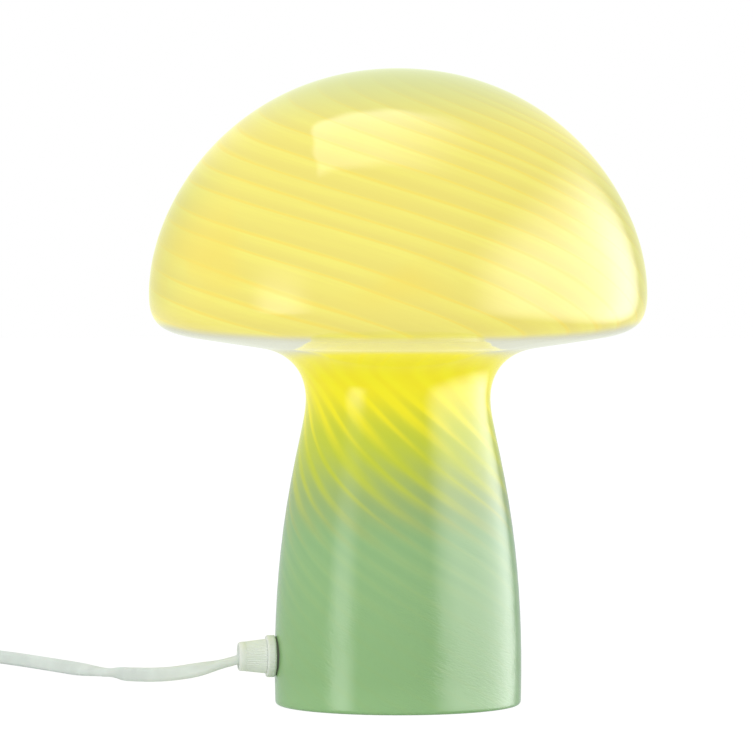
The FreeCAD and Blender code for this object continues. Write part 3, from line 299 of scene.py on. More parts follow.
def handling_group():
    """Handled metal: a mask of duller smudges and fine scratches that run one way."""
    def build(tree, given):
        smudge = tree.ramp(tree.noise(given["Point"], 180.0, 3.0, 0.6), 0.42, 0.62)
        lines = tree.noise(tree.stretched(given["Point"], (1.0, 1.0, 12.0)), 900.0, 3.0)
        return {"Smudge": smudge, "Scratch": lines}
    return shared_group("Handled metal", {"Point": ("Vector", None)},
                        {"Smudge": "Float", "Scratch": "Float"}, build)


def new_material(name):
    material = bpy.data.materials.get(name)
    if material:
        material.node_tree.nodes.clear()
    else:
        material = bpy.data.materials.new(name)
        material.use_nodes = True
        material.node_tree.nodes.clear()
    return material, Tree(material.node_tree)


def finish_with(tree, inputs):
    """The Principled shader with these inputs, at the material's output."""
    shader = tree.add("ShaderNodeBsdfPrincipled", inputs)
    tree.add("ShaderNodeOutputMaterial", {"Surface": shader.outputs[0]})
    return shader


LAMPLIGHT = (1.0, 0.86, 0.62, 1.0)


def plastic(name, colour, roughness=0.38, grain=2500.0, bump=0.05, clear=0.0, glow=0.0):
    """Moulded plastic or rubber: slightly uneven in colour, with a fine grain. A lit piece also
    glows with warm lamplight."""
    material, tree = new_material(name)
    point = tree.object_point()
    surface = tree.group(moulding_group(), {"Point": point, "Grain": grain})
    body = tree.mix(1.0, colour, tree.grey(surface["Shade"]), "MULTIPLY")
    rough = tree.ramp(surface["Grain"], 0.3, 0.7, roughness - 0.05, roughness + 0.07)
    relief = tree.add("ShaderNodeBump", {
        "Strength": bump, "Distance": 0.0002, "Height": surface["Grain"]})
    finish_with(tree, {"Base Color": body, "Roughness": rough, "Normal": relief.outputs[0],
                       "Coat Weight": clear, "Coat Roughness": 0.15,
                       "Emission Color": LAMPLIGHT, "Emission Strength": glow})
    return material


def metal(name, colour, roughness=0.28, bump=0.03):
    """Plated or bare metal: duller where it was handled, with fine scratches."""
    material, tree = new_material(name)
    point = tree.object_point()
    wear = tree.group(handling_group(), {"Point": point})
    dull = tuple(0.72 * c for c in colour)
    body = tree.mix(tree.math("MULTIPLY", wear["Smudge"], 0.5), tuple(colour), dull)
    rough = tree.ramp(wear["Smudge"], 0.0, 1.0, roughness, roughness + 0.16)
    relief = tree.add("ShaderNodeBump", {
        "Strength": bump, "Distance": 0.0002, "Height": wear["Scratch"]})
    finish_with(tree, {"Base Color": body, "Metallic": 1.0, "Roughness": rough,
                       "Normal": relief.outputs[0]})
    return material


def dress(material, *nodes):
    """Gives CAD nodes a finish, in the material slots of their objects."""
    for node in nodes:
        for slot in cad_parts[node].material_slots:
            slot.material = material


def wear_material(piece, material):
    piece.data.materials.clear()
    piece.data.materials.append(material)


# ------------------------------------------------------------------ the flex
# Corners of the route over the table, in millimetres, as the CAD's flex has them.
OUTLET_Z = 17.9
OUTLET_TURN = 8.0            # degrees from -X towards the viewer
OUT_ANGLE = math.radians(180.0 + OUTLET_TURN)
OUT_DIR = np.array([math.cos(OUT_ANGLE), math.sin(OUT_ANGLE), 0.0])
OUT_SIDE = np.cross(OUT_DIR, (0.0, 0.0, 1.0))
FLEX_START = 49.0            # where it leaves the soft bush of the outlet


def outlet_point(distance):
    """A point of the outlet's axis, so far from the lamp's axis."""
    return tuple(np.array([0.0, 0.0, OUTLET_Z]) + OUT_DIR * distance)


ROUTE_TO_SWITCH = (
    outlet_point(FLEX_START), outlet_point(54.6),
    (-61.0, -8.6, 15.8), (-72.0, -7.8, 13.0), (-82.0, -2.9, 11.1), (-89.4, 5.6, 10.0),
    (-95.2, 24.7, 8.4), (-99.5, 48.0, 6.4), (-107.0, 76.0, 4.3), (-118.0, 103.0, 2.9),
    (-133.0, 131.0, 2.6), (-155.0, 166.0, 2.6), (-180.0, 197.0, 2.6), (-207.0, 218.0, 2.6),
    (-238.0, 216.0, 2.7), (-257.6, 193.0, 3.5), (-258.0, 163.0, 8.0), (-258.0, 140.5, 8.0),
)
ROUTE_TO_COIL = (
    (-258.0, 99.5, 8.0), (-258.0, 85.0, 8.0), (-257.3, 70.0, 5.3), (-255.0, 61.6, 3.3),
    (-255.0, 54.0, 3.3),
)
ROUTE_TO_PLUG = (
    (-255.0, 38.0, 9.0), (-255.0, 29.0, 9.0), (-256.5, 17.5, 6.6), (-258.0, 4.0, 6.85),
    (-258.0, -9.0, 6.85),
)
COIL_START = (-255.0, 46.0)
COIL_IN_R = 21.0
COIL_TURNS = 3.5             # in one layer; the second layer comes back out
COIL_PITCH = 3.85
COIL_LOW_Z = 3.3
LAYER_PITCH = 5.7
EASE_HALF = 0.125            # turns each side of the reversal in which the spiral eases round
CLIMB_HALF = 0.25            # turns each side in which the flex climbs a layer
POINTS_PER_TURN = 36
# The flat flex turns over as it lies: distance from the start in millimetres, turns.
ROLL_TO_SWITCH = ((0, 0.0), (14, 0.0), (30, 0.25), (92, 0.25), (128, 0.5), (176, 0.75),
                  (320, 0.75), (372, 1.0), (420, 1.0))
ROLL_TO_PLUG = ((0, 0.0), (14, 0.0), (44, 0.25), (1288, 0.25), (1318, 0.0), (1400, 0.0))


def coil_points():
    """The wound flex: radius = inner + pitch x turns from the reversal, eased round there, and
    the height rises one layer through the reversal."""
    turn = np.arange(0.0, 2 * COIL_TURNS + 1e-9, 1.0 / POINTS_PER_TURN)
    short = turn - COIL_TURNS
    away = np.abs(short)
    away = np.where(away < EASE_HALF, short ** 2 / (2 * EASE_HALF) + EASE_HALF / 2, away)
    radius = COIL_IN_R + COIL_PITCH * away
    height = COIL_LOW_Z + LAYER_PITCH * smooth_step(-CLIMB_HALF, CLIMB_HALF, short)
    angle = np.pi + 2 * np.pi * turn
    centre_x = COIL_START[0] + COIL_IN_R + COIL_PITCH * COIL_TURNS
    return np.stack([centre_x + radius * np.cos(angle),
                     COIL_START[1] + radius * np.sin(angle), height], axis=1)


def spline_line(name, corners):
    """Points in metres along a NURBS spline of order 3 with these corners, as Blender reads it."""
    curve = bpy.data.curves.new(name, "CURVE")
    curve.dimensions = "3D"
    curve.resolution_u = 12
    spline = curve.splines.new("NURBS")
    spline.points.add(len(corners) - 1)
    weighted = np.ones((len(corners), 4))
    weighted[:, :3] = np.array(corners) * MM
    spline.points.foreach_set("co", weighted.ravel())
    spline.order_u = 3
    spline.use_endpoint_u = True
    holder = bpy.data.objects.new(name, curve)
    bpy.context.collection.objects.link(holder)
    seen = holder.evaluated_get(bpy.context.evaluated_depsgraph_get())
    mesh = bpy.data.meshes.new_from_object(seen)
    line = np.empty(len(mesh.vertices) * 3)
    mesh.vertices.foreach_get("co", line)
    bpy.data.objects.remove(holder)
    bpy.data.curves.remove(curve)
    bpy.data.meshes.remove(mesh)
    return line.reshape(-1, 3)


def roll_along(distance, stations):
    """Angle of the flat side along the flex, eased from each station to the next."""
    places, turns = np.array(stations).T
    i = np.clip(np.searchsorted(places, distance, side="right") - 1, 0, len(places) - 2)
    share = smooth_step(0.0, 1.0, (distance - places[i]) / (places[i + 1] - places[i]))
    return 2 * np.pi * (turns[i] + (turns[i + 1] - turns[i]) * share)


def flat_flex(name, line, stations, width, thickness, across=24):
    """A flat flex along a line: two half circles joined by flats, carried along the line and
    rolled about it. Each ring's point is centre + wide axis x u + thin axis x v."""
    heading = unit(np.gradient(line, axis=0))
    level = unit(np.cross(heading, (0.0, 0.0, 1.0)))
    upright = np.cross(level, heading)
    roll = roll_along(along(line) / MM, stations)[:, None]
    wide = level * np.cos(roll) + upright * np.sin(roll)
    thin = np.cross(wide, heading)
    angle = 2 * np.pi * (np.arange(across) + 0.5) / across
    u = (width - thickness) / 2 * np.sign(np.cos(angle)) + thickness / 2 * np.cos(angle)
    v = thickness / 2 * np.sin(angle)
    rings = (line[:, None, :] + wide[:, None, :] * u[None, :, None]
             + thin[:, None, :] * v[None, :, None])
    return skin(name, rings, line[0], line[-1])


def flex_material(colours):
    """Soft sheath: satin, a little uneven, with faint marks of being pulled through the die."""
    material, tree = new_material("flex_sheath")
    point = tree.object_point()
    surface = tree.group(moulding_group(), {"Point": point, "Grain": 1400.0})
    body = tree.mix(1.0, tuple(colours.flex), tree.grey(surface["Shade"]), "MULTIPLY")
    relief = tree.add("ShaderNodeBump", {
        "Strength": 0.08, "Distance": 0.0003, "Height": surface["Grain"]})
    finish_with(tree, {
        "Base Color": body, "Roughness": tree.ramp(surface["Grain"], 0.3, 0.7, 0.34, 0.46),
        "Subsurface Weight": 0.15, "Subsurface Radius": (0.0015, 0.002, 0.0018),
        "Subsurface Scale": 1.0, "Normal": relief.outputs[0]})
    return material


class LAMP_OT_lay_flex(bpy.types.Operator):
    """Lays the flat flex from the foot to the switch, then through its coil to the plug"""

    bl_idname = "lamp.lay_flex"
    bl_label = "Lay the flex"
    bl_options = {"REGISTER", "UNDO"}

    def execute(self, context):
        sizes, colours = context.scene.lamp_sizes, context.scene.lamp_colours
        sheath = flex_material(colours)
        to_switch = even(spline_line("route_to_switch", ROUTE_TO_SWITCH), 1.3 * MM)
        corners = np.vstack([ROUTE_TO_COIL, coil_points(), ROUTE_TO_PLUG])
        to_plug = even(spline_line("route_to_plug", corners), 1.3 * MM)
        section = (sizes.flex_width, sizes.flex_thickness)
        first = flat_flex("flex_to_switch", to_switch, ROLL_TO_SWITCH, *section)
        second = flat_flex("flex_to_plug", to_plug, ROLL_TO_PLUG, *section)
        for piece in (first, second):
            wear_material(piece, sheath)
            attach(piece, "lamp")
        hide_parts("cord_lamp_to_switch")
        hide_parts("cord_switch_to_coil", "cord_coil", "cord_coil_to_plug")
        return {"FINISHED"}


# ------------------------------------------------------------------ the glass
# Outer profile as (radius, height) corners of cubic curves, from the crown to the foot.
DOME = ((0.0, 230.0), (57.1, 230.0), (90.0, 183.7), (90.0, 148.5))
LIP = ((90.0, 148.5), (90.0, 136.0), (84.12, 134.26), (68.3, 131.87))
NECK = ((50.0, 129.1), (38.13, 127.31), (33.4, 119.5), (33.4, 110.5))
STEM = ((33.4, 110.5), (33.4, 98.0), (46.3, 68.0), (44.5, 1.4))
FOOT_ROUND = ((43.1, 1.4), 1.4)          # centre and radius of the rounded outer edge
GROUND_IN_R = 41.8
FOOT_IN = (41.0, 0.8)
COLUMNS = 308                # 14 for each stripe
OUTLET_HOLE_R = 5.25
# Winding of the swirl: turns of one stripe for each millimetre of height.
SWIRL_RATE = ((0, 0.140), (65, 0.124), (99, 0.103), (122, 0.120), (154, 0.108), (175, 0.130),
              (217, 0.166), (231, 0.170))
# The stripes bunch to one side: the lean in radians, below and above the neck.
STEM_LEAN, CAP_LEAN = -4.5, 11.5
LEAN_LOW_Z, LEAN_HIGH_Z = 119.0, 136.0


def outer_profile():
    """The outside of the glass from the crown to the foot's ground ring, evenly divided."""
    dome = bezier(*DOME, 200)
    shade = np.vstack([dome, bezier(*LIP, 60)[1:], bezier(*NECK, 60), bezier(*STEM, 120)[1:]])
    return np.vstack([even(shade, 1.75), arc(*FOOT_ROUND, 0.0, -90.0, 6)[1:], [(GROUND_IN_R, 0.0)]])


def inner_profile(outer, wall):
    """The inside: each outer point moved square to the profile by the wall's thickness."""
    heading = unit(np.gradient(outer, axis=0))
    inward = np.stack([heading[:, 1], -heading[:, 0]], axis=1)
    inside = outer + inward * wall
    inside = inside[(inside[:, 0] > 0) & (outer[:, 1] > 2.0)]
    inside[0] = (0.0, inside[0, 1])
    return np.vstack([even(inside, 2.6), [FOOT_IN]])


def swirl_turns(points, count):
    """Turns of the stripes at each point (metres): count x azimuth, plus the winding up the
    height, less a lean that follows the cosine of the azimuth from the front."""
    height = points[..., 2] / MM
    azimuth = np.arctan2(points[..., 0], -points[..., 1])
    return count * azimuth / (2 * np.pi) + swirl_phase(azimuth, height)


def swirl_phase(azimuth, height):
    """The part of swirl_turns that is the same all round but for the lean."""
    levels = np.arange(0.0, 232.0)
    wound = np.concatenate([[0.0], np.cumsum(np.interp(levels[:-1] + 0.5, *zip(*SWIRL_RATE)))])
    lean = STEM_LEAN + (CAP_LEAN - STEM_LEAN) * smooth_step(LEAN_LOW_Z, LEAN_HIGH_Z, height)
    return np.interp(height, levels, wound) - lean * np.cos(azimuth) / (2 * np.pi)


def turned_rings(profile, columns):
    """A profile of (radius, height) in millimetres turned about the lamp's axis."""
    azimuth = 2 * np.pi * np.arange(columns) / columns
    radius, height = profile[:, 0, None] * MM, profile[:, 1, None] * MM
    return np.stack([radius * np.cos(azimuth), radius * np.sin(azimuth),
                     height * np.ones(columns)], axis=-1)


def ribbed_rings(profile, columns, count, ridge):
    """The turned profile with the swirl's ribs: each point moves out along the surface's normal
    by ridge x the rib's height there."""
    rings = turned_rings(profile, columns)
    heading = np.gradient(profile, axis=0)
    normal = unit(np.stack([-heading[:, 1], heading[:, 0]], axis=1))
    azimuth = 2 * np.pi * np.arange(columns) / columns
    outward = np.stack([normal[:, 0, None] * np.cos(azimuth), normal[:, 0, None] * np.sin(azimuth),
                        normal[:, 1, None] * np.ones(columns)], axis=-1)
    turns = swirl_turns(rings, count)
    rib = 0.5 + 0.5 * np.cos(2 * np.pi * turns)
    height = profile[:, 1, None]
    share = smooth_step(1.5, 8.0, height) * (1 - smooth_step(205.0, 229.0, height))
    return rings + outward * (ridge * rib ** 1.6 * share)[..., None]


def glass_mesh(sizes):
    """Outer and inner walls as one closed skin, with the hole for the cord outlet."""
    outside = outer_profile()
    inside = inner_profile(outside, sizes.glass_wall / MM)
    outer = ribbed_rings(outside[1:], COLUMNS, sizes.swirl_count, sizes.ridge_height)
    inner = turned_rings(inside[1:][::-1], COLUMNS)
    rings = np.vstack([outer, inner])
    top, under = (0.0, 0.0, outside[0, 1] * MM), (0.0, 0.0, inside[0, 1] * MM)
    piece = skin("swirled_glass", rings[:, ::-1], top, under)
    angle = 2 * np.pi * np.arange(48) / 48
    ends = np.array([outlet_point(30.0), outlet_point(55.0)]) * MM
    circle = OUTLET_HOLE_R * MM * (np.cos(angle)[:, None] * OUT_SIDE
                                   + np.sin(angle)[:, None] * np.array([0.0, 0.0, 1.0]))
    drill = skin("outlet_drill", ends[:, None, :] + circle[None], ends[0], ends[1])
    carved(piece, drill)
    return piece


def store_phase(piece):
    """Keeps swirl_phase at every point, as the attribute that the glass's stripes follow."""
    mesh = piece.data
    points = np.empty(len(mesh.vertices) * 3)
    mesh.vertices.foreach_get("co", points)
    points = points.reshape(-1, 3)
    phase = swirl_phase(np.arctan2(points[:, 0], -points[:, 1]), points[:, 2] / MM)
    mesh.attributes.new("swirl", "FLOAT", "POINT").data.foreach_set("value", phase)


# The drift of the stripes, in turns, and the noise that stands for none of it.
DRIFT_TURNS, DRIFT_MIDDLE = 1.1, 0.62
# How fast the noise changes along a stripe, for each millimetre of height.
STREAK_RISE, DASH_RISE = 0.006, 0.03
# Heights over which the painted glow of the bulb rises on the stem, and the share of it that the
# glass emits.
PAINTED_GLOW_LOW_Z, PAINTED_GLOW_HIGH_Z = 57.0, 116.0
PAINTED_GLOW_SHARE = 0.5


def twisted_point(tree, twist, height, rise):
    """A point (cos twist, sin twist, rise x height), so that noise on it runs along the stripes."""
    return tree.add("ShaderNodeCombineXYZ", {
        "X": tree.math("COSINE", twist), "Y": tree.math("SINE", twist),
        "Z": tree.math("MULTIPLY", height, rise)}).outputs[0]


def glass_material(sizes, colours):
    """Cased glass: mint in the stem, and the bulb's glow painted into the colour in warm yellow
    bands where the bulb stands behind it; the glass emits this painted light, though it is no lamp.
    The stripes follow count x azimuth + the stored phase + a slow drift. In the cap each stripe
    brightens quickly at its upper edge, with a warm line there, and dies away slowly below it;
    in the stem it is the square of an even wave."""
    material, tree = new_material("swirled_glass")
    point = tree.object_point()
    place = tree.add("ShaderNodeSeparateXYZ", {"Vector": point}).outputs
    height = tree.math("DIVIDE", place["Z"], MM)
    azimuth = tree.math("ARCTAN2", place["X"], tree.math("MULTIPLY", place["Y"], -1.0))
    phase = tree.add("ShaderNodeAttribute", attribute_name="swirl").outputs["Fac"]
    per_radian = sizes.swirl_count / (2 * math.pi)
    steady = tree.math("ADD", tree.math("MULTIPLY", azimuth, per_radian), phase)
    twist = tree.math("DIVIDE", steady, per_radian)
    twisted = twisted_point(tree, twist, height, STREAK_RISE)
    uneven = tree.math("SUBTRACT", tree.noise(twisted, 3.0, 3.0), DRIFT_MIDDLE)
    drift = tree.math("MULTIPLY", uneven, DRIFT_TURNS)
    turns = tree.math("ADD", steady, drift)
    share = tree.math("FRACT", turns)
    wave = tree.math("ADD", tree.math("MULTIPLY", tree.math(
        "COSINE", tree.math("MULTIPLY", turns, 2 * math.pi)), 0.5), 0.5)
    streaks = tree.noise(twisted, 16.0, 3.0, 0.6)
    strength = tree.ramp(streaks, 0.3, 0.7, 0.6, 1.0)
    band = tree.math("MULTIPLY", tree.ramp(share, 0.0, 0.72), tree.ramp(share, 1.0, 0.80))
    thread_glow = tree.math("MULTIPLY", tree.ramp(share, 0.74, 0.84), tree.ramp(share, 0.96, 0.84))
    # The cap: bands and threads of painted glow, with a warm cloud before the bulb as a painted
    # pool of its light, fading into the crown, where the painted glow is greener.
    bright = tree.math("MULTIPLY", band, strength)
    cap = tree.mix(bright, tuple(colours.straw_glow), tuple(colours.amber_glow))
    cap = tree.mix(tree.math("MULTIPLY", thread_glow, 0.8), cap, tuple(colours.thread_glow))
    # Painted light: the warm cloud is a pool of the bulb's light painted on the cap.
    cloud = tree.math("MULTIPLY", tree.ramp(tree.noise(point, 22.0, 2.0), 0.45, 0.62), tree.math(
        "MULTIPLY", tree.ramp(height, 140.0, 155.0), tree.ramp(height, 190.0, 160.0)))
    cap = tree.mix(tree.math("MULTIPLY", cloud, 0.6), cap, tuple(colours.thread_glow))
    cap = tree.mix(tree.ramp(height, 203.0, 231.0, 0.0, 0.95), cap, tuple(colours.crown))
    # Glass seen aslant is paler and keeps less of the painted glow: painted shade towards the cap's
    # outline, where more clear casing lies in front of its colour.
    facing = tree.add("ShaderNodeLayerWeight", {"Blend": 0.5}).outputs["Facing"]
    belt = tree.math("MULTIPLY", tree.ramp(height, 138.0, 150.0), tree.ramp(height, 205.0, 180.0))
    aslant = tree.math("MULTIPLY", tree.ramp(facing, 0.4, 0.85), belt)
    cap = tree.mix(1.0, cap, tree.mix(aslant, (1.0, 1.0, 1.0), tuple(colours.depth)), "MULTIPLY")
    # The stem: painted glow of the bulb rises from the foot to the neck, a little more along each
    # stripe.
    rise = tree.add("ShaderNodeMapRange", {
        "Value": height, "From Min": PAINTED_GLOW_LOW_Z, "From Max": PAINTED_GLOW_HIGH_Z}).outputs["Result"]
    ridge = tree.math("SUBTRACT", tree.math("POWER", wave, 2.0), 0.35)
    glow_along_stripes = tree.math("MULTIPLY", ridge, tree.math(
        "MULTIPLY", tree.ramp(rise, 0.0, 0.4, 0.10, 0.16), tree.ramp(rise, 1.0, 0.8, 0.6, 1.0)))
    painted_glow_level = tree.math("ADD", rise, glow_along_stripes)
    stem = tree.mix(tree.ramp(painted_glow_level, 0.0, 0.3), tuple(colours.mint), tuple(colours.sage_glow))
    stem = tree.mix(tree.ramp(painted_glow_level, 0.2, 0.66), stem, tuple(colours.lime_glow))
    stem = tree.mix(tree.ramp(painted_glow_level, 0.60, 1.0), stem, tuple(colours.lemon_glow))
    # In the neck the glass between the stripes is a little deeper in colour: painted shade between
    # the ribs.
    painted_rib_shade = tree.math("MULTIPLY", tree.math("SUBTRACT", 1.0, wave), tree.ramp(rise, 0.6, 0.95))
    stem = tree.mix(painted_rib_shade, stem, tree.mix(1.0, stem, (0.985, 0.95, 0.8), "MULTIPLY"))
    # Below the glow the stripes are only a little paler than the glass between them.
    faint = tree.math("MULTIPLY", wave, tree.math(
        "MULTIPLY", tree.ramp(height, 25.0, 55.0), tree.ramp(height, 90.0, 70.0)))
    stem = tree.mix(tree.math("MULTIPLY", faint, strength), stem, tree.mix(
        1.0, stem, (1.13, 1.07, 1.04), "MULTIPLY"))
    # Painted light: the glass is brighter towards the foot, standing for light thrown up from the
    # floor.
    foot = tree.mix(tree.ramp(height, 14.0, 0.0), (1, 1, 1), (1.12, 1.1, 1.14))
    stem = tree.mix(1.0, stem, foot, "MULTIPLY")
    body = tree.mix(tree.ramp(height, 119.0, 139.0), stem, cap)
    # The cap's lower face, seen nearly edge on, is painted in shade: it keeps little of the painted
    # glow.
    underside_shade_mask = tree.math("MULTIPLY", tree.ramp(facing, 0.62, 0.9), tree.math("MULTIPLY", tree.ramp(
        height, 124.0, 130.0), tree.ramp(height, 140.0, 136.0)))
    body = tree.mix(underside_shade_mask, body, tuple(colours.underside_shade))
    # Half of the lit glass's colour is emitted, as painted glow of the bulb on glass that is no
    # lamp, and half is light that it scatters back.
    glow = tree.math("MULTIPLY", tree.ramp(height, 70.0, PAINTED_GLOW_HIGH_Z), PAINTED_GLOW_SHARE)
    painted_glow_emission = tree.mix(glow, (0.0, 0.0, 0.0), body)
    reflected = tree.mix(glow, body, (0.0, 0.0, 0.0))
    # Tool marks: fine broken ribs that follow the swirl, plainest near the foot.
    dashes = twisted_point(tree, twist, height, DASH_RISE)
    patches = tree.ramp(tree.noise(point, 40.0, 2.0), 0.42, 0.62)
    marks = tree.math("MULTIPLY", tree.noise(dashes, 26.0, 3.0, 0.6), tree.math(
        "MULTIPLY", patches, tree.ramp(height, 80.0, 10.0, 0.1, 1.0)))
    ripple = tree.math("MULTIPLY", tree.noise(point, 30.0, 2.0), 0.5)
    relief = tree.add("ShaderNodeBump", {"Strength": 0.16, "Distance": 0.0012,
                                         "Height": tree.math("ADD", marks, ripple)})
    finish_with(tree, {
        "Base Color": reflected, "Roughness": 0.06, "IOR": 1.45, "Emission Color": painted_glow_emission,
        "Emission Strength": 1.0, "Normal": relief.outputs[0]})
    material.cycles.emission_sampling = "NONE"
    return material


# ------------------------------------------------------------------ the cord outlet
OUTLET_COLUMNS = 336
FLANGE_TEETH = 48
NOSE_RIBS = 42
# Closed profiles of (distance from the lamp's axis, radius), and the depth of the ribs there.
FLANGE = ((34.0, 4.1, 0), (34.0, 4.9, 0), (45.0, 4.9, 0), (45.0, 7.25, 0.5), (45.3, 7.6, 0.42),
          (45.9, 7.6, 0.28), (46.6, 7.6, 0.22), (47.2, 7.6, 0.22), (47.8, 7.55, 0.2),
          (48.1, 7.3, 0), (48.1, 4.9, 0), (53.0, 4.9, 0), (53.0, 4.1, 0))
NOSE = ((48.15, 5.0, 0), (48.15, 6.1, 0.2), (48.6, 6.22, 0.34), (50.7, 5.97, 0.34),
        (53.2, 5.68, 0.34), (55.6, 5.4, 0.3), (55.85, 5.3, 0), (56.0, 5.36, 0), (56.9, 5.3, 0),
        (57.8, 5.15, 0), (58.2, 4.85, 0), (58.3, 4.5, 0), (58.1, 4.15, 0), (56.4, 3.45, 0),
        (53.2, 3.3, 0), (53.2, 5.0, 0))


def outlet_turning(name, profile, teeth, saw):
    """A profile turned about the outlet's axis. Its radius drops by the depth there times a wave
    of the angle: (1 + cos)/2 for a rib, or the fraction of a turn for a saw's tooth."""
    distance, radius, depth = (np.array(values)[:, None] for values in zip(*profile))
    angle = 2 * np.pi * np.arange(OUTLET_COLUMNS) / OUTLET_COLUMNS
    tooth = angle * teeth / (2 * np.pi)
    wave = tooth % 1.0 if saw else 0.5 + 0.5 * np.cos(2 * np.pi * tooth)
    radius = radius - depth * wave
    out = np.array([0.0, 0.0, OUTLET_Z]) + distance[..., None] * OUT_DIR
    around = np.cos(angle)[:, None] * OUT_SIDE + np.sin(angle)[:, None] * np.array([0.0, 0.0, 1.0])
    return skin(name, (out + radius[..., None] * around) * MM, loop=True)


class LAMP_OT_fit_outlet(bpy.types.Operator):
    """Makes the cord outlet: a toothed flange and a ribbed nose that squeezes the flex"""

    bl_idname = "lamp.fit_outlet"
    bl_label = "Fit the cord outlet"
    bl_options = {"REGISTER", "UNDO"}

    def execute(self, context):
        finish = plastic("outlet_plastic", tuple(context.scene.lamp_colours.outlet), 0.42)
        for name, profile, teeth, saw, node in (
                ("outlet_flange", FLANGE, FLANGE_TEETH, True, "outlet_body"),
                ("outlet_bush", NOSE, NOSE_RIBS, False, "outlet_nose")):
            piece = outlet_turning(name, profile, teeth, saw)
            wear_material(piece, finish)
            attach(piece, "lamp")
            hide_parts(node)
        return {"FINISHED"}


class LAMP_OT_blow_glass(bpy.types.Operator):
    """Makes the glass body, cap and stem in one, with its swirl as fine ribs and stripes"""

    bl_idname = "lamp.blow_glass"
    bl_label = "Blow the glass"
    bl_options = {"REGISTER", "UNDO"}

    def execute(self, context):
        sizes, colours = context.scene.lamp_sizes, context.scene.lamp_colours
        piece = glass_mesh(sizes)
        store_phase(piece)
        wear_material(piece, glass_material(sizes, colours))
        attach(piece, "lamp")
        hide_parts("glass_body")
        return {"FINISHED"}


class LAMP_OT_finish_fittings(bpy.types.Operator):
    """Gives the holder, bulb, switch and plug their finishes"""

    bl_idname = "lamp.finish_fittings"
    bl_label = "Finish the fittings"
    bl_options = {"REGISTER", "UNDO"}

    def execute(self, context):
        colours = context.scene.lamp_colours
        white = plastic("white_shell", tuple(colours.shell_white), 0.34, clear=0.2)
        dress(white, "switch_base", "switch_cover", "switch_rocker", "rocker_plunger",
              "cord_clamps", "plug_body", "plug_insert")
        dress(plastic("soft_bush", (0.78, 0.78, 0.75), 0.55), "bracket_sleeves", "outlet_collet",
              "outlet_inner_gasket")
        # Dark rubber, and painted shadow: the outer gasket is made dark to stand for the shadow in
        # the gap between the flange and the glass.
        dress(plastic("gasket_dark_as_gap_shadow", (0.10, 0.11, 0.09), 0.6), "outlet_outer_gasket")
        dress(plastic("holder_plastic", tuple(colours.holder), 0.4), "upper_clamp_ring",
              "lower_clamp_ring", "holder_skirt", "holder_dome", "holder_core", "cord_grip")
        dress(plastic("tie_plastic", (0.70, 0.71, 0.69), 0.5), "coil_ties")
        dress(plastic("sleeve_black", (0.012, 0.012, 0.013), 0.4), "pin_sleeves")
        dress(plastic("black_insulator", (0.01, 0.01, 0.012), 0.2), "bulb_insulator")
        dress(plastic("live_brown", (0.085, 0.03, 0.012), 0.42), "live_core", "switch_live_wires")
        dress(plastic("neutral_blue", (0.02, 0.09, 0.32), 0.42), "neutral_core",
              "switch_neutral_wires")
        dress(plastic("inner_sheath", tuple(colours.flex), 0.45), "inner_lead")
        dress(metal("zinc_steel", tuple(colours.zinc), 0.3), "neck_bracket",
              "holder_terminal_screws", "cord_grip_screw", "outlet_nut", "switch_terminal_screws",
              "clamp_screws", "cover_screws")
        dress(metal("brass", tuple(colours.brass), 0.26), "screw_shell", "centre_contact",
              "side_contact", "contact_bridge", "live_post", "fixed_contact", "neutral_link",
              "plug_pins", "bulb_cap")
        dress(metal("solder", (0.52, 0.53, 0.54), 0.35), "bulb_eyelet")
        dress(metal("lead_wire", (0.45, 0.44, 0.42), 0.3), "filament_leads", "bulb_filament")
        dress(plastic("bulb_glass", (0.80, 0.78, 0.70), 0.15, clear=0.6, glow=3.0),
              "bulb_globe", "bulb_stem")
        return {"FINISHED"}


# ------------------------------------------------------------------ stage
IMAGE_PIXELS = 753
FOCAL_PIXELS = 4978.0
SENSOR = 36.0
CAMERA_X = -7.8
CAMERA_DROP = 1.697          # degrees below level
WHITE = (1.0, 1.0, 1.0, 1.0)
FLOOR_HALF = 6.0
FLOOR_COLOUR = (0.9, 0.9, 0.9, 1.0)
FLOOR_WHITE, FLOOR_WHITE_SHARE = 1.15, 0.8
WORLD_LIGHT = 0.75
CAP_MIDDLE = (0.0, 0.0, 0.15)
# Panels that only the gloss shows: name, place, aim, size, radiance, and how far in from the
# left, right, bottom and top each one fades.
REFLECTIONS = (
    ("right_reflection", (0.9, -0.1, 0.15), (0.0, -0.1, 0.15), (3.0, 1.9), 4.8,
     (0.38, 0.34, 0.4, 0.4)),
    ("left_reflection", (-0.85, -0.62, 0.05), (0.0, 0.0, 0.05), (0.7, 1.1), 3.6,
     (0.45, 0.45, 0.3, 0.6)),
    ("overhead_reflection", (0.0, -0.02, 1.2), (0.002, -0.009, 0.0), (1.1, 0.8), 2.8,
     (0.04, 0.65, 0.15, 0.15)),
)
# Panels that light the lamp but don't show in its gloss: name, place, aim, size, radiance.
FILLS = (
    ("front_fill", (-0.9, -1.2, 0.9), CAP_MIDDLE, (1.4, 1.0), 1.1),
    ("back_fill", (-0.4, 1.4, 1.0), CAP_MIDDLE, (1.4, 1.0), 0.6),
)


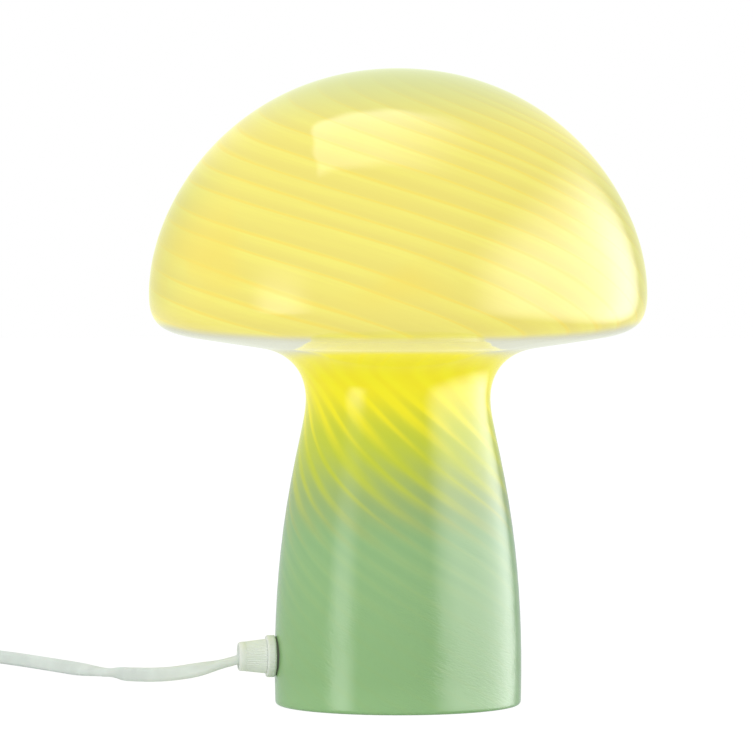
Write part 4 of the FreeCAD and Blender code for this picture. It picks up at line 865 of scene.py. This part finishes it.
def soft_edges(light, fades):
    """Dims a panel towards its sides: the part of its width or height, from left, right, bottom
    and top, over which it fades."""
    light.use_nodes = True
    light.node_tree.nodes.clear()
    tree = Tree(light.node_tree)
    spot = tree.add("ShaderNodeNewGeometry").outputs["Parametric"]
    across = tree.add("ShaderNodeSeparateXYZ", {"Vector": spot}).outputs
    strength = 1.0
    for axis, start, fade in (("X", 0.0, fades[0]), ("X", 1.0, fades[1]),
                              ("Y", 0.0, fades[2]), ("Y", 1.0, fades[3])):
        end = start + fade if start == 0.0 else start - fade
        strength = tree.math("MULTIPLY", strength, tree.ramp(across[axis], start, end))
    shine = tree.add("ShaderNodeEmission", {"Color": (1, 1, 1, 1), "Strength": strength})
    tree.add("ShaderNodeOutputLight", {"Surface": shine.outputs[0]})


def area_lamp(name, place, aim, size, radiance, gloss=True, diffuse=True, fades=None):
    """A soft panel at a place (metres) that faces a point. Its power is pi x area x radiance."""
    light = bpy.data.lights.new(name, "AREA")
    light.shape, light.size, light.size_y = "RECTANGLE", *size
    light.energy = math.pi * size[0] * size[1] * radiance
    if fades:
        soft_edges(light, fades)
    lamp = bpy.data.objects.new(name, light)
    out = unit(np.array(place, float) - np.array(aim, float))
    lamp.location = place
    level = math.hypot(out[0], out[1])
    turn = math.atan2(out[1], out[0]) + math.pi / 2 if level > 1e-6 else 0.0
    lamp.rotation_euler = (math.acos(out[2]), 0.0, turn)
    lamp.visible_camera = False
    lamp.visible_glossy, lamp.visible_diffuse = gloss, diffuse
    bpy.context.collection.objects.link(lamp)


def seen_white(tree, lit, background):
    """The first of two shaders, with a share of the second for what the camera, gloss and
    glass see directly."""
    path = tree.add("ShaderNodeLightPath").outputs
    seen = tree.math("MAXIMUM", path["Is Camera Ray"], tree.math(
        "MAXIMUM", path["Is Glossy Ray"], path["Is Transmission Ray"]))
    return tree.add("ShaderNodeMixShader", {0: tree.math("MULTIPLY", seen, background), 1: lit[0],
                                            2: lit[1]}).outputs[0]


class LAMP_OT_set_stage(bpy.types.Operator):
    """Sets the pale floor, the soft lamps, the white surround and the camera"""

    bl_idname = "lamp.set_stage"
    bl_label = "Set the stage"
    bl_options = {"REGISTER", "UNDO"}

    def execute(self, context):
        scene, sizes = context.scene, context.scene.lamp_sizes
        colours = scene.lamp_colours
        mesh = bpy.data.meshes.new("floor")
        mesh.from_pydata([(FLOOR_HALF * x, FLOOR_HALF * y, 0.0)
                          for x, y in ((-1, -1), (1, -1), (1, 1), (-1, 1))], [], [(0, 1, 2, 3)])
        floor = bpy.data.objects.new("floor", mesh)
        context.collection.objects.link(floor)
        material, tree = new_material("pale_floor")
        plain = tree.add("ShaderNodeBsdfDiffuse", {"Color": FLOOR_COLOUR}).outputs[0]
        bright = tree.add("ShaderNodeEmission", {"Color": WHITE, "Strength": FLOOR_WHITE})
        shown = seen_white(tree, (plain, bright.outputs[0]), FLOOR_WHITE_SHARE)
        tree.add("ShaderNodeOutputMaterial", {"Surface": shown})
        mesh.materials.append(material)
        floor.visible_glossy = False

        world = bpy.data.worlds.new("white_room")
        world.use_nodes = True
        world.node_tree.nodes.clear()
        tree = Tree(world.node_tree)
        skies = ((WHITE, WORLD_LIGHT), (WHITE, 1.0), (opaque(colours.haze), 1.0))
        dim, bright, haze = (
            tree.add("ShaderNodeBackground", {"Color": colour, "Strength": strength}).outputs[0]
            for colour, strength in skies)
        gloss = tree.add("ShaderNodeLightPath").outputs["Is Glossy Ray"]
        mirrored = tree.add("ShaderNodeMixShader", {
            0: gloss, 1: seen_white(tree, (dim, bright), 1.0), 2: haze})
        tree.add("ShaderNodeOutputWorld", {"Surface": mirrored.outputs[0]})
        scene.world = world

        for name, place, aim, size, radiance, fades in REFLECTIONS:
            area_lamp(name, place, aim, size, radiance, diffuse=False, fades=fades)
        for name, place, aim, size, radiance in FILLS:
            area_lamp(name, place, aim, size, radiance, gloss=False)

        data = bpy.data.cameras.new("camera")
        camera = bpy.data.objects.new("camera", data)
        context.collection.objects.link(camera)
        data.sensor_width = SENSOR
        data.lens = FOCAL_PIXELS * SENSOR / IMAGE_PIXELS
        camera.location = (CAMERA_X * MM, -sizes.camera_distance, sizes.camera_height)
        camera.rotation_euler = (math.radians(90.0 - CAMERA_DROP), 0.0, 0.0)
        scene.camera = camera
        scene.view_settings.view_transform = "Standard"
        return {"FINISHED"}


# ------------------------------------------------------------------ add-on
class LAMP_PT_panel(bpy.types.Panel):
    """Sizes, colours and the steps that make the lamp"""

    bl_idname = "LAMP_PT_panel"
    bl_label = "Mushroom lamp"
    bl_space_type = "VIEW_3D"
    bl_region_type = "UI"
    bl_category = "Mushroom lamp"

    def draw(self, context):
        for group in (context.scene.lamp_sizes, context.scene.lamp_colours):
            column = self.layout.column(align=True)
            for name in group.bl_rna.properties.keys():
                if name not in ("rna_type", "name"):
                    column.prop(group, name)
        for step in STEPS:
            self.layout.operator(step.bl_idname)


STEPS = (LAMP_OT_lay_flex, LAMP_OT_blow_glass, LAMP_OT_fit_outlet, LAMP_OT_finish_fittings,
         LAMP_OT_set_stage)
CLASSES = (LampSizes, LampColours, *STEPS, LAMP_PT_panel)


def register():
    for cls in CLASSES:
        bpy.utils.register_class(cls)
    bpy.types.Scene.lamp_sizes = bpy.props.PointerProperty(type=LampSizes)
    bpy.types.Scene.lamp_colours = bpy.props.PointerProperty(type=LampColours)


def unregister():
    del bpy.types.Scene.lamp_colours
    del bpy.types.Scene.lamp_sizes
    for cls in reversed(CLASSES):
        bpy.utils.unregister_class(cls)


def main():
    """Makes the lamp step by step."""
    register()
    bpy.ops.lamp.lay_flex()
    bpy.ops.lamp.blow_glass()
    bpy.ops.lamp.fit_outlet()
    bpy.ops.lamp.finish_fittings()
    bpy.ops.lamp.set_stage()


if __name__ == "__main__":
    main()
